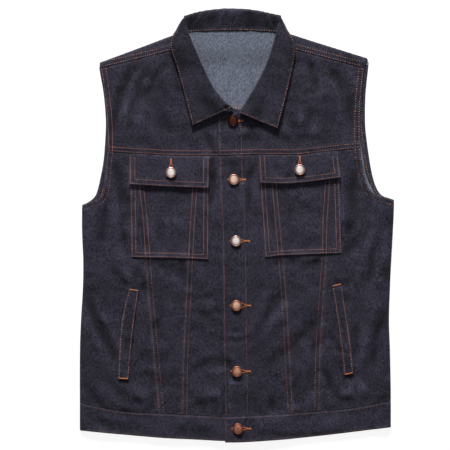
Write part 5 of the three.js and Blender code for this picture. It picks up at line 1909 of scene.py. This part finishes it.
def copper_material():
    material, tree, surface = new_material("copper", Metallic=1.0)
    metal = place_on_piece(tree)
    skin_reflection_and_shade, groove_and_rim_shade = marked(tree, "skin_reflection_and_shade"), marked(tree, "groove_and_rim_shade")
    spots = grain(tree, metal, (420, 420, 420), 4.0, 0.6)
    blotch = math_node(tree, "MULTIPLY_ADD", spots, 2.2, -0.6, clamp=True)
    hammer = grain(tree, metal, (900, 900, 900), 2.0, 0.5)
    patchy = math_node(tree, "MULTIPLY_ADD", blotch, 0.5, 0.65)
    skin_share = math_node(tree, "MULTIPLY", skin_reflection_and_shade, patchy, clamp=True)
    # The ramp runs from copper painted near white, a painted reflection, to its brown skin.
    ramp = node(tree, "ShaderNodeValToRGB", {"Fac": skin_share})
    painted_reflection, skinned = ramp.color_ramp.elements
    painted_reflection.position, painted_reflection.color = 0.03, (0.98, 0.91, 0.86, 1)
    skinned.position, skinned.color = 1.0, (0.4, 0.14, 0.085, 1)
    ramp.color_ramp.elements.new(0.48).color = (0.88, 0.52, 0.4, 1)
    # Values over 1 mix the cap and its groove towards near black: a painted shade, as under the collar.
    shaded = math_node(tree, "SUBTRACT", skin_reflection_and_shade, 1.0, clamp=True)
    brown_and_shade = mix_colours(tree, shaded, ramp.outputs["Color"], (0.07, 0.02, 0.013, 1))
    ring = mix_colours(tree, shaded, (0.2, 0.055, 0.03, 1), (0.012, 0.005, 0.005, 1))
    feed(tree, surface, mix_colours(tree, groove_and_rim_shade, brown_and_shade, ring), hammer, 0.35, 0.0003)
    rough = math_node(tree, "MULTIPLY_ADD", blotch, 0.14, 0.33)
    tree.links.new(rough, surface.inputs["Roughness"])
    return material


COPPER = copper_material()


def make_button(name, stands_for, x, y, z, skin_reflection_and_shade, tilt):
    """A button whose foot stands at x, y, z. Its profile starts and ends in one point."""
    turns = 2 * np.pi * np.arange(BUTTON_SIDES) / BUTTON_SIDES
    points, groove_and_rim_shade = [], []
    for radius, height in BUTTON_PROFILE:
        around = turns if radius else turns[:1]
        points += [(radius * math.cos(t), radius * math.sin(t), height) for t in around]
        # The groove and the cap's sides are brown; the rim and the dome's edge are painted darker, a
        # painted shade.
        in_groove = GROOVE[0] < radius < GROOVE[1] or height < 3
        brown_and_shade = 1.0 if in_groove else RIM_SHADE * float(smooth(5, GROOVE[1], radius))
        groove_and_rim_shade += [brown_and_shade] * len(around)
    faces = []
    last = len(points) - 1
    last_ring = last - BUTTON_SIDES
    for k in range(BUTTON_SIDES):
        n = (k + 1) % BUTTON_SIDES
        faces.append((0, 1 + n, 1 + k))
        for ring in range(1, last_ring, BUTTON_SIDES):
            above_ring = ring + BUTTON_SIDES
            faces.append((ring + k, ring + n, above_ring + n, above_ring + k))
        faces.append((last_ring + k, last_ring + n, last))
    points = np.array(points, float)
    points[:, 2] += (points[:, 0] * tilt[0] + points[:, 1] * tilt[1]) * (points[:, 2] > CAP_FROM)
    points += (x, y, z + BUTTON_SEAT)
    piece = make_mesh(name, points, faces, (COPPER,), sharp=60)
    mark(piece, "skin_reflection_and_shade", np.full(len(points), skin_reflection_and_shade))
    mark(piece, "groove_and_rim_shade", groove_and_rim_shade)
    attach(piece, "root")
    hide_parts(stands_for)


for i, ((x, y), skin_reflection_and_shade, tilt) in enumerate(zip(BUTTONS, SKIN_REFLECTION_AND_SHADE, TILTS), 1):
    place = on_band("over") if y < waist_seam(x) else on_front("left")
    z = float(place(x, y, 0)[2])
    make_button(f"copper_button_front_{i}", f"button_front_{i}", x, y, z, skin_reflection_and_shade, tilt)
for side in SIDES:
    x, y = FLAP_BUTTONS[side]
    z = float(on_flap(side)(x, y, 0)[2])
    name = f"button_flap_{side}"
    make_button(f"copper_{name}", name, x, y, z, FLAP_SKIN, FLAP_TILT)


# Stage
# A plain pale table, lit from within so that shadows on it stay faint. A large lamp stands low and
# far off beyond the collar, a weak one hangs overhead, and the camera looks straight down.

VIEW_WIDTH = 0.7425  # metres, as in all of this section
VIEW_CENTRE = (-0.0196, 0.0005)
CAMERA_HEIGHT = 2.6
SENSOR = 36.0
FLOOR_REACH = 6.0
FLOOR_LEVEL = -0.0002
WHITE = (1, 1, 1, 1)


def pale_floor():
    corners = [(x * FLOOR_REACH, y * FLOOR_REACH, 0) for x, y in ((-1, -1), (1, -1), (1, 1), (-1, 1))]
    mesh = bpy.data.meshes.new("floor")
    mesh.from_pydata(corners, [], [(0, 1, 2, 3)])
    floor = bpy.data.objects.new("floor", mesh)
    bpy.context.scene.collection.objects.link(floor)
    floor.location.z = FLOOR_LEVEL
    material, *_ = new_material(
        "pale_floor", Base_Color=(0.15, 0.15, 0.15, 1), Emission_Color=WHITE,
        Emission_Strength=0.88, Roughness=0.9, Specular_IOR_Level=0.1,
    )
    mesh.materials.append(material)


def lamp(name, place, size, power):
    light = bpy.data.lights.new(name, "AREA")
    light.shape = "DISK"
    light.size = size
    light.energy = power
    holder = bpy.data.objects.new(name, light)
    holder.location = place
    holder.rotation_euler = (-Vector(place)).to_track_quat("-Z", "Y").to_euler()
    bpy.context.scene.collection.objects.link(holder)


def white_room(strength):
    world = bpy.data.worlds.new("room")
    world.use_nodes = True
    background = world.node_tree.nodes["Background"]
    background.inputs["Color"].default_value = WHITE
    background.inputs["Strength"].default_value = strength
    bpy.context.scene.world = world


def camera():
    data = bpy.data.cameras.new("camera")
    data.sensor_width = SENSOR
    data.lens = SENSOR * CAMERA_HEIGHT / VIEW_WIDTH
    data.clip_end = 100
    holder = bpy.data.objects.new("camera", data)
    holder.location = (*VIEW_CENTRE, CAMERA_HEIGHT)
    bpy.context.scene.collection.objects.link(holder)
    bpy.context.scene.camera = holder


pale_floor()
lamp("key", place=(-0.75, 9.0, 3.7), size=2.2, power=2390)
lamp("softbox", place=(0, 0, 3.2), size=1.6, power=7)
white_room(strength=0.24)
camera()
bpy.context.scene.view_settings.view_transform = "Standard"
